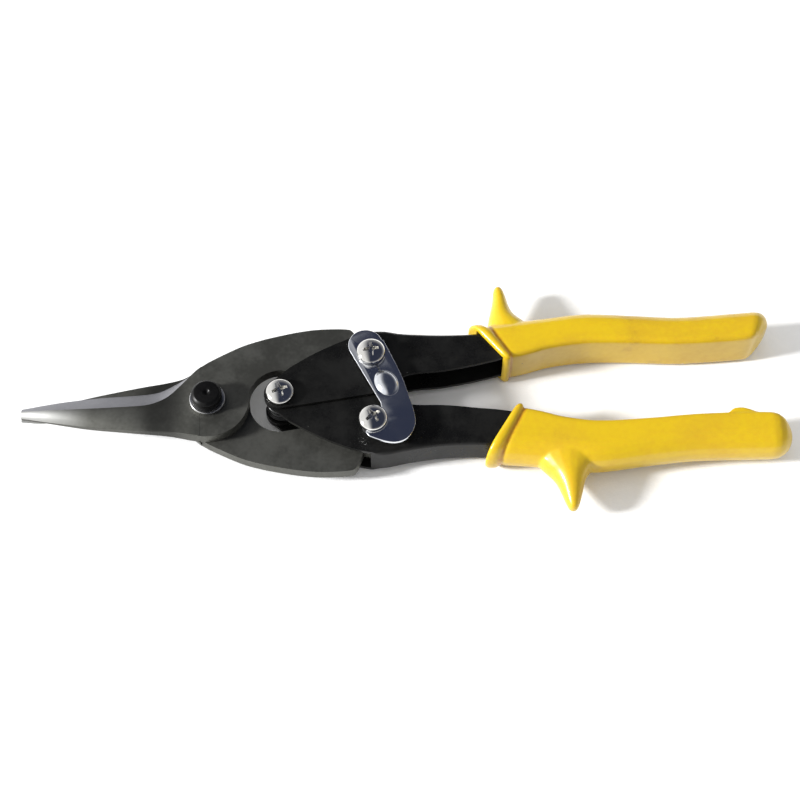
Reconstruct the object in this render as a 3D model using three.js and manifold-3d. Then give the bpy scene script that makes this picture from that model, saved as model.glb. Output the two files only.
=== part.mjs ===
// Aviation snips: two forged blades crossed on a main pivot, each tail pinned to a folded
// sheet-steel handle, and the two handles pinned to each other (compound leverage).
// Millimetres. Origin: on the main pivot axis, at the level the tool rests on.
// +X runs from the main pivot to the grips, +Y to the upper handle, +Z up through the stack.
import * as THREE from 'three';
import { mergeVertices } from 'three/addons/utils/BufferGeometryUtils.js';
import Module from 'manifold-3d';

const wasm = await Module();
wasm.setup();

// ---------------------------------------------------------------- driving sizes
const JAW_LENGTH = 60.3;          // main pivot to jaw tip
const BLADE_THICKNESS = 4;        // at the main pivot and the tail
const TIP_THICKNESS = 2;          // at the jaw tip
const EYE_RADIUS = 13.3;          // blade's round shoulder about the main pivot
const HANDLE_PIVOT_X = 23.5;      // main pivot to the pivot that joins the handles
const TAIL_PIVOT_X = 53.1;        // main pivot to the blade tail pivots, along X
const TAIL_PIVOT_Y = 12.2;        // tail pivots off the centre line
const TAIL_EYE_RADIUS = 6.6;      // blade tail about its pivot
const SHEET = 1.3;                // wall of a handle channel
const HANDLE_TIP_RADIUS = 5.2;    // channel walls about the handle pivot
const WEB_START_X = 52;           // where the channel's outer web begins
const UPPER_COLLAR_X = 92.4;      // middle of the upper grip's collar
const LOWER_COLLAR_X = 95.4;      // middle of the lower grip's collar
const UPPER_GRIP_LENGTH = 94.3;   // upper collar to the rounded rear end
const LOWER_GRIP_LENGTH = 92.2;   // lower collar to the rounded rear end
const GRIP_WALL = 2;              // vinyl over the channel's open inner side
const GRIP_BACK = 4.4;            // vinyl over the channel's web, under the rounded back
const GRIP_COVER = 1.2;           // vinyl over the channel's near and far walls
const BEAD_RISE = 0.9;            // collar bead proud of the grip
const BEAD_WIDTH = 3.4;
const COLLAR_SLANT = 4.8;         // half the offset between the collar's inner and outer ends
const END_ROUNDING = 6.4;         // radius of the grip's rear end in plan
const HORN_DEPTH = 9;             // horn's thickness, along Z
const LUG_DEPTH = 8;              // small lug on the lower grip, below its near side
const LUG_DROP = 0.6;             // lug's near face below the grip's near side
const PIN_RADIUS = 3;             // barrel nuts that the tails and handles turn on
const PIN_HEAD_RADIUS = 4.9;
const PIN_HEAD_HEIGHT = 1.75;
const SCREW_RADIUS = 1.9;
const SCREW_HEAD_RADIUS = 4.6;
const SCREW_HEAD_HEIGHT = 3.1;
const BOLT_RADIUS = 3;            // main pivot bolt
const BOLT_HEAD_RADIUS = 4.9;
const BOLT_HEAD_HEIGHT = 3.9;
const BOLT_WASHER_RADIUS = 5.7;
const BOLT_WASHER = 1.2;          // thickness of both main pivot washers
const NUT_ACROSS_FLATS = 10;
const LATCH_SHEET = 1.2;
const LATCH_STANDOFF = 1.85;      // latch plate above the upper handle's near wall
const LATCH_NECK_RADIUS = 1.9;    // catch screw where the latch hooks round it
const DIMPLE_RADIUS = 3.9;
const DIMPLE_RISE = 1.5;
const WIRE = 1.4;                 // opening spring
const SPRING_TURNS = 4;
const LEG_OFFSET = 5.6;           // spring legs off the centre line behind the tail pivots

// ---------------------------------------------------------------- clearances
const PLAY = 0.1;                 // between faces that slide or seat
const BORE_PLAY = 0.08;           // radial, a pin in its bore
const MAIN_BORE_PLAY = 0.3;       // radial, front blade on the main bolt: the pivot left open
const POCKET_PLAY = 0.3;          // grip pocket round the channel
const COIL_PLAY = 0.3;            // spring coil round its pin
const LEG_PLAY = 0.1;             // spring leg beside the blade tail that it passes
const LATCH_PLAY = 0.25;          // latch notch round the neck

// ---------------------------------------------------------------- levels through the stack
const FAR_OUTER = [PIN_HEAD_HEIGHT + PLAY, PIN_HEAD_HEIGHT + PLAY + SHEET];
const FAR_INNER = above(FAR_OUTER, SHEET);
const BACK_BLADE = above(FAR_INNER, BLADE_THICKNESS);
const FRONT_BLADE = above(BACK_BLADE, BLADE_THICKNESS);
const NEAR_INNER = above(FRONT_BLADE, SHEET);
const NEAR_OUTER = above(NEAR_INNER, SHEET);
const LATCH = [NEAR_OUTER[1] + LATCH_STANDOFF, NEAR_OUTER[1] + LATCH_STANDOFF + LATCH_SHEET];
const SHEAR_Z = (BACK_BLADE[1] + FRONT_BLADE[0]) / 2;

// ---------------------------------------------------------------- pivots
const HANDLE_PIVOT = [HANDLE_PIVOT_X, 0];
const UPPER_TAIL = [TAIL_PIVOT_X, TAIL_PIVOT_Y];
const LOWER_TAIL = [TAIL_PIVOT_X, -TAIL_PIVOT_Y];
const CUTOUT_RADIUS = HANDLE_PIVOT_X - EYE_RADIUS;
const BORE_RADIUS = PIN_RADIUS + BORE_PLAY;

// ---------------------------------------------------------------- jaw profiles
// Each list holds [share of the jaw length, offset from the centre line] for the blade as it
// lies when it is the front one; the back blade is the same forging turned over.
const THROAT = [[0.05, 13], [-0.05, 15.6]];
const FRONT_JAW = {
  edge: [[1, 0.6], [0.8, 2.6], [0.585, 3.9], [0.37, 4.5], [0.264, 5.4], [0.17, 8.4], ...THROAT],
  bevel: [[1, -0.9], [0.84, -1.3], [0.625, -1.6], [0.413, -1.3], [0.307, -0.6], [0.217, 1.9],
    [0.15, 5.7], [0.05, 11.9], [-0.05, 15.6]],
  back: [[1, -3], [0.846, -4.9], [0.63, -7.5], [0.416, -9.2], [0.202, -10.9], [0.05, -12.8],
    [-0.05, -12.6]],
};
const BACK_JAW = {
  edge: [[1, 3.8], [0.9, 4.5], [0.8, 4.3], [0.585, 4.5], [0.37, 5.2], [0.264, 5.9], [0.17, 8.4], ...THROAT],
  bevel: [[1, 1.6], [0.84, 0.4], [0.625, -0.6], [0.413, -0.6], [0.307, 0], [0.217, 2],
    [0.15, 5.7], [0.05, 11.9], [-0.05, 15.6]],
  back: [[1, -0.4], [0.8, -2.1], [0.585, -5], [0.373, -7.5], [0.158, -9.9], [0.05, -12.8],
    [-0.05, -12.6]],
};

// Outer edge of the tail: [share of the way to the tail pivot, height over the tail pivot].
const TAIL_EDGE = [[0.921, 8.4], [0.893, 11.6], [0.85, 12.8], [0.69, 13], [0.565, 12.3],
  [0.44, 11], [0.318, 9.4], [0.194, 7.1]];

// ---------------------------------------------------------------- handle profiles
// Outer edge of the walls ahead of the web, the same on both handles: [X, offset].
const PLATE_OUTER = [[26.7, 9.6], [35, 14.7], [46.5, 20]];
// Shank edges as [X, offset] and grip edges as [share of the grip length, offset], all offsets
// being distances from the centre line. The lower handle lies slightly nearer to it.
const UPPER = {
  side: 1,
  far: FAR_INNER,
  near: NEAR_OUTER,
  collarX: UPPER_COLLAR_X,
  gripLength: UPPER_GRIP_LENGTH,
  shankInner: [[60, 3.9], [66, 6.1], [76, 6.9], [86, 8.6], [96, 11]],
  shankOuter: [[55.6, 23], [63, 21.8], [69.5, 21.2], [76, 20.8], [88, 20.9]],
  gripInner: [[0, 10.6], [0.1, 12], [0.2, 14], [0.32, 15.4], [0.45, 15.2], [0.66, 14.1],
    [0.88, 14.9], [1, 15.8]],
  gripOuter: [[0, 24.6], [0.1, 26.4], [0.2, 27.7], [0.33, 28.9], [0.5, 27.8], [0.66, 26.6],
    [0.85, 27.4], [1, 28.2]],
  endLean: 5,
};
const LOWER = {
  side: -1,
  far: FAR_OUTER,
  near: NEAR_INNER,
  collarX: LOWER_COLLAR_X,
  gripLength: LOWER_GRIP_LENGTH,
  shankInner: [[60, 3], [66, 4.7], [76, 5.2], [86, 6.5], [96, 7.9]],
  shankOuter: [[55.6, 21.8], [63, 20.6], [69.5, 19.7], [76, 19.1], [88, 19.2]],
  gripInner: [[0, 6.7], [0.1, 8.4], [0.2, 10.6], [0.32, 12.4], [0.5, 12.1], [0.66, 11.2],
    [0.88, 11.1], [1, 11.8]],
  gripOuter: [[0, 23.2], [0.1, 24.4], [0.2, 26], [0.31, 27.4], [0.5, 25.6], [0.66, 24.4],
    [0.85, 24.5], [1, 24.6]],
  endLean: 0,
};

// ---------------------------------------------------------------- materials
const blackSteel = finish('#4a4a45', 0.42, 0.9);
const blackPaint = finish('#111112', 0.38, 0.3);
const chrome = finish('#c9cbcf', 0.12, 1);
const boltBlack = finish('#0b0b0c', 0.35, 0.7);
const zinc = finish('#a9abab', 0.35, 1);
const vinyl = finish('#e2b514', 0.4, 0);
const springSteel = finish('#55565a', 0.4, 1);

/** A standard material of one colour. */
function finish(color, roughness, metalness) {
  return new THREE.MeshStandardMaterial({ color, roughness, metalness });
}

// ---------------------------------------------------------------- helpers
/** The next level up the stack, one sliding clearance above the last. */
function above(level, thickness) {
  return [level[1] + PLAY, level[1] + PLAY + thickness];
}

/** Closed three.js geometry to a manifold solid. */
function solidOf(geometry) {
  const bare = geometry.clone();
  bare.deleteAttribute('normal');
  bare.deleteAttribute('uv');
  const merged = mergeVertices(bare, 1e-4);
  const vertProperties = new Float32Array(merged.attributes.position.array);
  const triVerts = new Uint32Array(merged.index.array);
  return new wasm.Manifold(new wasm.Mesh({ numProp: 3, vertProperties, triVerts }));
}

/** Named mesh made from a manifold solid. */
function meshOf(name, solid, material) {
  const { vertProperties, triVerts } = solid.getMesh();
  const geometry = new THREE.BufferGeometry();
  geometry.setAttribute('position', new THREE.BufferAttribute(new Float32Array(vertProperties), 3));
  geometry.setIndex(new THREE.BufferAttribute(new Uint32Array(triVerts), 1));
  geometry.computeVertexNormals();
  const mesh = new THREE.Mesh(geometry, material);
  mesh.name = name;
  return mesh;
}

/** Points on an arc, from one angle to the other in degrees. */
function arc([x, y], radius, from, to, step = 12) {
  const count = Math.max(1, Math.ceil(Math.abs(to - from) / step));
  const points = [];
  for (let i = 0; i <= count; i += 1) {
    const angle = THREE.MathUtils.degToRad(from + ((to - from) * i) / count);
    points.push([x + radius * Math.cos(angle), y + radius * Math.sin(angle)]);
  }
  return points;
}

/** Points along a smooth curve through the given ones. */
function smooth(points, count) {
  const curve = new THREE.SplineCurve(points.map(([x, y]) => new THREE.Vector2(x, y)));
  return curve.getPoints(count).map((p) => [p.x, p.y]);
}

/** Height at x of a smooth line through [x, y] points, whichever way they run. */
function heightAt(points, x) {
  const line = points[0][0] < points[points.length - 1][0] ? points : [...points].reverse();
  const last = line.length - 1;
  const at = Math.min(Math.max(line.findIndex((p) => p[0] >= x), 1), last);
  const i = x > line[last][0] ? last : at;
  const [x0, y0] = line[i - 1];
  const [x1, y1] = line[i];
  const slope = (y1 - y0) / (x1 - x0);
  const before = i > 1 ? (y1 - line[i - 2][1]) / (x1 - line[i - 2][0]) : slope;
  const after = i < last ? (line[i + 1][1] - y0) / (line[i + 1][0] - x0) : slope;
  const t = THREE.MathUtils.clamp((x - x0) / (x1 - x0), 0, 1);
  const width = x1 - x0;
  const blend = t * t * (3 - 2 * t);
  const rise = (t ** 3 - 2 * t * t + t) * width * before + (t ** 3 - t * t) * width * after;
  return y0 + (y1 - y0) * blend + rise;
}

/** Outline extruded between two levels, with round holes as [centre, radius]. */
function plate(outline, [low, high], holes = []) {
  const shape = new THREE.Shape(outline.map(([x, y]) => new THREE.Vector2(x, y)));
  for (const [[x, y], radius] of holes) {
    const hole = new THREE.Path();
    hole.setFromPoints(arc([x, y], radius, 0, 345, 15).map(([u, v]) => new THREE.Vector2(u, v)));
    shape.holes.push(hole);
  }
  const geometry = new THREE.ExtrudeGeometry(shape, { depth: high - low, bevelEnabled: false });
  geometry.translate(0, 0, low);
  return solidOf(geometry);
}

/** Profile of [radius, z] turned about a vertical axis at the given centre. */
function turned(profile, [x, y], segments = 24) {
  const points = profile.map(([radius, z]) => new THREE.Vector2(radius, z));
  const geometry = new THREE.LatheGeometry(points, segments);
  geometry.rotateX(Math.PI / 2);
  geometry.translate(x, y, 0);
  const solid = solidOf(geometry);
  return solid.volume() < 0 ? solidOf(flipped(geometry)) : solid;
}

/** The same geometry with its faces turned the other way. */
function flipped(geometry) {
  const index = geometry.index.array;
  for (let i = 0; i < index.length; i += 3) {
    [index[i], index[i + 1]] = [index[i + 1], index[i]];
  }
  return geometry;
}

/** Solid skinned over closed rings of equal length, each a list of [x, y, z]. */
function loft(rings) {
  const size = rings[0].length;
  const index = [];
  for (let r = 0; r + 1 < rings.length; r += 1) {
    for (let i = 0; i < size; i += 1) {
      const a = r * size + i;
      const b = r * size + ((i + 1) % size);
      index.push(a, b, b + size, a, b + size, a + size);
    }
  }
  const end = (rings.length - 1) * size;
  for (let i = 1; i + 1 < size; i += 1) {
    index.push(0, i + 1, i);
    index.push(end, end + i, end + i + 1);
  }
  const geometry = new THREE.BufferGeometry();
  geometry.setAttribute('position', new THREE.Float32BufferAttribute(rings.flat(2), 3));
  geometry.setIndex(index);
  const solid = solidOf(geometry);
  return solid.volume() < 0 ? solidOf(flipped(geometry)) : solid;
}

/** Ring of the given radii and levels about a vertical axis. */
function ring(centre, inner, outer, [low, high], segments = 24) {
  const profile = [[inner, low], [outer, low], [outer, high], [inner, high], [inner, low]];
  return turned(profile, centre, segments);
}

/** Outline with Y reflected for the lower handle. */
function sided(outline, side) {
  return outline.map(([x, y]) => [x, y * side]);
}

// ---------------------------------------------------------------- blades
/** Jaw points at their real place: share of the jaw length to X. */
function jawLine(points) {
  return points.map(([share, y]) => [-share * JAW_LENGTH, y]);
}

/** Jaw: sections from the tip to the throat, hollow side flat, outer side bevelled to the edge. */
function jaw(profile) {
  const edge = jawLine(profile.edge);
  const bevel = jawLine(profile.bevel);
  const back = jawLine(profile.back);
  const sections = 18;
  const start = -JAW_LENGTH;
  const stop = JAW_LENGTH * 0.05;
  const rings = [];
  for (let i = 0; i <= sections; i += 1) {
    const x = start + ((stop - start) * i) / sections;
    const full = THREE.MathUtils.smoothstep(x, start, -JAW_LENGTH * 0.1);
    const top = FRONT_BLADE[0] + TIP_THICKNESS + (BLADE_THICKNESS - TIP_THICKNESS) * full;
    rings.push([
      [x, heightAt(edge, x), FRONT_BLADE[0]],
      [x, Math.min(heightAt(bevel, x), heightAt(edge, x) - 0.02), top],
      [x, heightAt(back, x), top],
      [x, heightAt(back, x), FRONT_BLADE[0]],
    ]);
  }
  return loft(rings);
}

/** Plan outline of the blade's body and tail, behind the throat. */
function bladeOutline(profile) {
  const throat = -0.05 * JAW_LENGTH;
  const bevel = jawLine(profile.bevel);
  const tail = TAIL_EDGE.map(([share, y]) => [share * TAIL_PIVOT_X, TAIL_PIVOT_Y + y]);
  const corner = [-throat, heightAt(bevel, -throat)];
  const eyeStart = THREE.MathUtils.radToDeg(Math.acos(throat / EYE_RADIUS));
  return [
    ...arc([0, 0], EYE_RADIUS, -eyeStart, 0),
    ...arc(HANDLE_PIVOT, CUTOUT_RADIUS, 180, 90).slice(1),
    ...arc(UPPER_TAIL, TAIL_EYE_RADIUS, -102, 118),
    ...smooth([...tail, corner], 22),
    [0, heightAt(bevel, 0)],
    [throat, heightAt(bevel, throat)],
  ];
}

/** One forged blade as the front one lies, with its main and tail bores. */
function blade(profile, mainBore) {
  const body = plate(bladeOutline(profile), FRONT_BLADE, [[UPPER_TAIL, BORE_RADIUS]]);
  const bore = turned(rod(mainBore, FRONT_BLADE[0] - 1, FRONT_BLADE[1] + 1), [0, 0]);
  return body.add(jaw(profile)).subtract(bore);
}

/** The blade turned over about the shear plane, as the back one lies. */
function turnedOver(solid) {
  return solid.translate([0, 0, -SHEAR_Z]).rotate([180, 0, 0]).translate([0, 0, SHEAR_Z]);
}

/** Turning profile of a plain rod. */
function rod(radius, low, high) {
  return [[0, low], [radius, low], [radius, high], [0, high]];
}

// ---------------------------------------------------------------- handles
/** Grip edge at its real place: share of the grip length to X. */
function gripLine(handle, points) {
  return points.map(([share, y]) => [handle.collarX + share * handle.gripLength, y]);
}

/** Distance from the centre line of a channel's inner and outer edges, for the whole handle. */
function channelEdges(handle) {
  const core = [0.16, 0.33, 0.5, 0.66, 0.85].map((share) => handle.collarX + share * handle.gripLength);
  const inner = gripLine(handle, handle.gripInner);
  const outer = gripLine(handle, handle.gripOuter);
  return {
    inner: [...handle.shankInner, ...core.map((x) => [x, heightAt(inner, x) + GRIP_WALL])],
    outer: [...PLATE_OUTER, ...handle.shankOuter,
      ...core.map((x) => [x, heightAt(outer, x) - GRIP_BACK])],
    end: core[core.length - 1],
  };
}

/** Outline between a channel's edges from one X to another, grown by a margin. */
function channelBand(edges, from, to, grow, depth = null) {
  const steps = 16;
  const inner = [];
  const outer = [];
  for (let i = 0; i <= steps; i += 1) {
    const x = from + ((to - from) * i) / steps;
    const top = heightAt(edges.outer, x) + grow;
    outer.push([x, top]);
    inner.push([x, depth === null ? heightAt(edges.inner, x) - grow : top - depth]);
  }
  return [...inner, ...outer.reverse()];
}

/** Plan outline of a channel wall, from the handle pivot to its rear end. */
function wallOutline(edges) {
  const steps = 28;
  const [start] = edges.inner[0];
  const [front] = edges.outer[0];
  const inner = [];
  const outer = [];
  for (let i = 0; i <= steps; i += 1) {
    const x = start + ((edges.end - start) * i) / steps;
    const u = front + ((edges.end - front) * i) / steps;
    inner.push([x, heightAt(edges.inner, x)]);
    outer.push([u, heightAt(edges.outer, u)]);
  }
  return [
    ...arc(HANDLE_PIVOT, HANDLE_TIP_RADIUS, 122, 278, 13),
    [TAIL_PIVOT_X, -1],
    ...inner,
    ...outer.reverse(),
  ];
}

/** Folded U channel: a near wall, a far wall and the web along the outer edge. */
function channel(handle) {
  const edges = channelEdges(handle);
  const outline = sided(wallOutline(edges), handle.side);
  const holes = [[HANDLE_PIVOT, BORE_RADIUS], [sided([UPPER_TAIL], handle.side)[0], BORE_RADIUS]];
  const near = plate(outline, handle.near, holes);
  const far = plate(outline, handle.far, holes);
  const band = channelBand(edges, WEB_START_X, edges.end, 0, SHEET);
  const web = plate(sided(band, handle.side), [handle.far[0], handle.near[1]]);
  return near.add(far).add(web);
}

// ---------------------------------------------------------------- grips
/** D-shaped section between an inner and an outer plan point: flat inside, round outside. */
function gripSection([xi, yi], [xo, yo], [low, high], side) {
  const middle = (low + high) / 2;
  const half = (high - low) / 2;
  const width = Math.hypot(xo - xi, yo - yi);
  const corner = Math.min(1.6, half * 0.4);
  const round = Math.min(6.5, width * 0.55);
  const place = (v, z) => [xi + ((xo - xi) * v) / width, side * (yi + ((yo - yi) * v) / width), z];
  const points = [];
  for (const angle of [180, 225, 270]) {
    const [u, w] = arc([corner, -half + corner], corner, angle, angle)[0];
    points.push(place(u, middle + w));
  }
  for (const angle of [-90, -65, -42, -20, 0, 20, 42, 65, 90]) {
    const radians = THREE.MathUtils.degToRad(angle);
    points.push(place(width - round + round * Math.cos(radians), middle + half * Math.sin(radians)));
  }
  for (const angle of [90, 135, 180]) {
    const [u, w] = arc([corner, half - corner], corner, angle, angle)[0];
    points.push(place(u, middle + w));
  }
  return points;
}

/** Grip body: sections slanted at the collar, with the bead, to the rounded rear end. */
function gripBody(handle) {
  const inner = gripLine(handle, handle.gripInner);
  const outer = gripLine(handle, handle.gripOuter);
  const depth = [BEAD_RISE, handle.near[1] + GRIP_COVER];
  const stations = [[-0.5, 0.1], [-0.36, 0.75], [0, 1], [0.36, 0.75], [0.5, 0], [0.8, 0]]
    .map(([along, rise]) => [along * BEAD_WIDTH, rise * BEAD_RISE]);
  const steps = 13;
  const straight = handle.gripLength - END_ROUNDING - BEAD_WIDTH;
  for (let i = 1; i <= steps; i += 1) {
    stations.push([BEAD_WIDTH + (straight * i) / steps, 0]);
  }
  for (const angle of [30, 55, 75]) {
    const radians = THREE.MathUtils.degToRad(angle);
    const back = END_ROUNDING * (1 - Math.sin(radians));
    stations.push([handle.gripLength - back, END_ROUNDING * (Math.cos(radians) - 1)]);
  }
  return loft(stations.map(([along, rise]) => {
    const share = along / handle.gripLength;
    const slant = COLLAR_SLANT * Math.max(0, 1 - share / 0.2);
    const lean = handle.endLean * THREE.MathUtils.smoothstep(share, 0.85, 1);
    const x = handle.collarX + along;
    const xi = x + slant - lean;
    const xo = x - slant;
    const ends = [[xi, heightAt(inner, x) - rise], [xo, heightAt(outer, x) + rise]];
    return gripSection(...ends, [depth[0] - rise, depth[1] + rise], handle.side);
  }));
}

/** Horn that stands out of the middle of a grip's back: [X, Y] outline. */
function horn(outline, handle) {
  const middle = (handle.far[0] + handle.near[1]) / 2;
  return plate(sided(outline, handle.side), [middle - HORN_DEPTH / 2, middle + HORN_DEPTH / 2]);
}

/** Pocket that the channel fills, open at the collar. */
function pocket(handle) {
  const edges = channelEdges(handle);
  const band = channelBand(edges, handle.collarX - 15, edges.end + POCKET_PLAY, POCKET_PLAY);
  const span = [handle.far[0] - POCKET_PLAY, handle.near[1] + POCKET_PLAY];
  return plate(sided(band, handle.side), span);
}

/** Horn outline moved along the grip with its collar, from points given behind the collar. */
function hornOutline(handle, points) {
  return smooth(points.map(([back, y]) => [handle.collarX + back, y]), 20);
}

/** Upper grip: body with the horn close behind the collar. */
function upperGrip() {
  const outline = hornOutline(UPPER, [[0.2, 24], [0.2, 29], [1.8, 34.5], [2.5, 39.5], [3.8, 41.8],
    [5.2, 39.5], [6.4, 34.8], [8.2, 30.6], [11.8, 26.5]]);
  return gripBody(UPPER).add(horn(outline, UPPER)).subtract(pocket(UPPER));
}

/** Lower grip: body with the horn a finger's width back, and a small lug on its inner side. */
function lowerGrip() {
  const outline = hornOutline(LOWER, [[7.6, 22], [12.1, 26], [15.4, 29.6], [17.2, 35], [18.6, 39.6],
    [19.8, 41.2], [21.2, 39.8], [22.8, 35.4], [24.2, 30], [28.6, 24]]);
  const lug = hornOutline(LOWER, [[70.6, 13], [72.8, 10], [76, 9.3], [80.1, 10.8], [83.1, 13]]);
  const near = LOWER.near[1] + GRIP_COVER;
  return gripBody(LOWER)
    .add(horn(outline, LOWER))
    .add(plate(sided(lug, LOWER.side), [near - LUG_DEPTH, near - LUG_DROP]))
    .subtract(pocket(LOWER));
}

// ---------------------------------------------------------------- pins, screws and washers
/** Barrel nut: a round head under the far wall, a sleeve up to the screw head. */
function barrelNut(centre, headTop, sleeveTop) {
  const head = headTop - PIN_HEAD_HEIGHT;
  const profile = [[0, head], [PIN_HEAD_RADIUS - 0.4, head], [PIN_HEAD_RADIUS, head + 0.4],
    [PIN_HEAD_RADIUS, headTop], [PIN_RADIUS, headTop], [PIN_RADIUS, sleeveTop],
    [SCREW_RADIUS + PLAY, sleeveTop], [SCREW_RADIUS + PLAY, head + 1.2], [0, head + 1.2]];
  return turned(profile, centre);
}

/** Pan-head screw with a cross recess: head seated at one level, shank down into its nut. */
function panScrew(centre, seat, bottom) {
  const top = seat + SCREW_HEAD_HEIGHT;
  const rim = SCREW_HEAD_RADIUS;
  const profile = [[0, bottom], [SCREW_RADIUS, bottom], [SCREW_RADIUS, seat], [rim, seat],
    [rim, seat + 1.2], [rim * 0.92, seat + 2.1], [rim * 0.72, top - 0.38],
    [rim * 0.4, top - 0.08],
    [0, top]];
  const recess = 1.7;
  const arms = [[4.6, 0.9], [0.9, 4.6]].map(([length, width]) => {
    const box = new THREE.BoxGeometry(length, width, recess * 2);
    box.rotateZ(0.35);
    box.translate(centre[0], centre[1], top);
    return solidOf(box);
  });
  return turned(profile, centre).subtract(arms[0]).subtract(arms[1]);
}

/** Main pivot bolt: black chamfered head over its washer, shank through both blades. */
function mainBolt() {
  const seat = FRONT_BLADE[1] + PLAY + BOLT_WASHER + PLAY;
  const top = seat + BOLT_HEAD_HEIGHT;
  const rim = BOLT_HEAD_RADIUS;
  const profile = [[0, 0], [BOLT_RADIUS, 0], [BOLT_RADIUS, seat], [rim, seat], [rim, top - 0.7],
    [rim - 0.7, top], [1.4, top], [0.9, top - 0.5], [0, top - 0.5]];
  return turned(profile, [0, 0], 32);
}

/** Hexagonal lock nut with its nylon collar downwards, ending flush with the bolt. */
function lockNut(height) {
  const hex = arc([0, 0], NUT_ACROSS_FLATS / Math.sqrt(3), 0, 300, 60);
  const collar = 0.9;
  const body = plate(hex, [collar, height]);
  const skirt = turned(rod(NUT_ACROSS_FLATS / 2 - 0.4, 0, collar + 0.1), [0, 0]);
  const bore = turned(rod(BOLT_RADIUS + PLAY, -1, height + 1), [0, 0]);
  return body.add(skirt).subtract(bore);
}

// ---------------------------------------------------------------- latch
/** Plan outline of the latch plate: eye over the upper tail pivot, hook round the neck. */
function latchOutline() {
  const [tx, ty] = UPPER_TAIL;
  const [cx, cy] = LOWER_TAIL;
  const notch = LATCH_NECK_RADIUS + LATCH_PLAY;
  const slope = 22;
  const wall = arc([cx, cy], notch, 20, slope - 90, 12);
  const last = wall[wall.length - 1];
  const run = 3.1;
  const lip = [last[0] - run, last[1] - run * Math.tan(THREE.MathUtils.degToRad(slope))];
  return [
    ...arc([tx - 1.7, ty + 3.3], 5.6, 20, 202),
    [cx + 2.5, cy + 6.2],
    [cx + 2.9, cy + 3.4],
    ...wall,
    lip,
    [lip[0] - 0.2, lip[1] - 1.2],
    ...smooth([[cx - 1.4, cy - 5.8], [cx + 3.4, cy - 7.7], [cx + 7.6, cy - 8.1],
      [cx + 11.1, cy - 6.4], [cx + 13.2, cy - 2.6], [cx + 13.3, cy + 1.6], [cx + 11.7, cy + 8.6],
      [tx + 9.1, ty - 7.1], [tx + 4.3, ty + 4.6]], 22),
  ];
}

/** Latch plate: stamped sheet with a pressed thumb dimple. */
function latchPlate() {
  const centre = [TAIL_PIVOT_X + 4.7, 1.1];
  const [low, high] = LATCH;
  const dome = (radius, rise, base) => [[0, base - 0.4], [radius, base - 0.4], [radius, base],
    [radius * 0.92, base + rise * 0.45], [radius * 0.72, base + rise * 0.8],
    [radius * 0.4, base + rise * 0.97], [0, base + rise]];
  const inner = DIMPLE_RADIUS - LATCH_SHEET * 0.8;
  return plate(latchOutline(), LATCH, [[UPPER_TAIL, BORE_RADIUS]])
    .add(turned(dome(DIMPLE_RADIUS, DIMPLE_RISE, high), centre))
    .subtract(turned(dome(inner, DIMPLE_RISE, low), centre));
}

// ---------------------------------------------------------------- opening spring
/** Torsion spring: coil round the handle pivot, legs back inside the channels. */
function openingSpring() {
  const radius = PIN_RADIUS + COIL_PLAY + WIRE / 2;
  const low = FAR_INNER[1] + PLAY + WIRE / 2 + 0.5;
  const high = NEAR_INNER[0] - PLAY - WIRE / 2;
  const bend = TAIL_PIVOT_X + TAIL_EYE_RADIUS + 3;
  const passing = TAIL_PIVOT_Y - TAIL_EYE_RADIUS - WIRE / 2 - LEG_PLAY;
  const points = [
    new THREE.Vector3(bend + 7, -16, low),
    new THREE.Vector3(bend + 3, -9, low),
    new THREE.Vector3(bend - 3, -LEG_OFFSET, low),
    new THREE.Vector3(TAIL_PIVOT_X, -passing, low),
  ];
  const steps = SPRING_TURNS * 12;
  for (let i = 0; i <= steps; i += 1) {
    const angle = -Math.PI / 2 - (i / steps) * (SPRING_TURNS * 2 - 1) * Math.PI;
    const z = low + ((high - low) * i) / steps;
    const x = HANDLE_PIVOT_X + radius * Math.cos(angle);
    points.push(new THREE.Vector3(x, radius * Math.sin(angle), z));
  }
  points.push(new THREE.Vector3(TAIL_PIVOT_X, passing, high));
  points.push(new THREE.Vector3(bend - 3, LEG_OFFSET, high));
  points.push(new THREE.Vector3(bend + 3, 9, high));
  points.push(new THREE.Vector3(bend + 7, 16, high));
  const shape = new THREE.Shape();
  shape.absarc(0, 0, WIRE / 2, 0, Math.PI * 2);
  const curve = new THREE.CatmullRomCurve3(points);
  const geometry = new THREE.ExtrudeGeometry(shape, {
    steps: points.length * 2, curveSegments: 4, bevelEnabled: false, extrudePath: curve,
  });
  return solidOf(geometry);
}

// ---------------------------------------------------------------- assembly
const snips = new THREE.Group();
const sleeveTop = NEAR_OUTER[1] + PLAY;
const latchTop = LATCH[1] + PLAY;
const catchNeck = [NEAR_INNER[1] + PLAY, LATCH[0] - PLAY];
const boltWasherSeat = FRONT_BLADE[1] + PLAY;
const nutHeight = BACK_BLADE[0] - PLAY - BOLT_WASHER - PLAY;
const spacer = PIN_RADIUS + 2;
const pinBore = PIN_RADIUS + PLAY;

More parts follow.
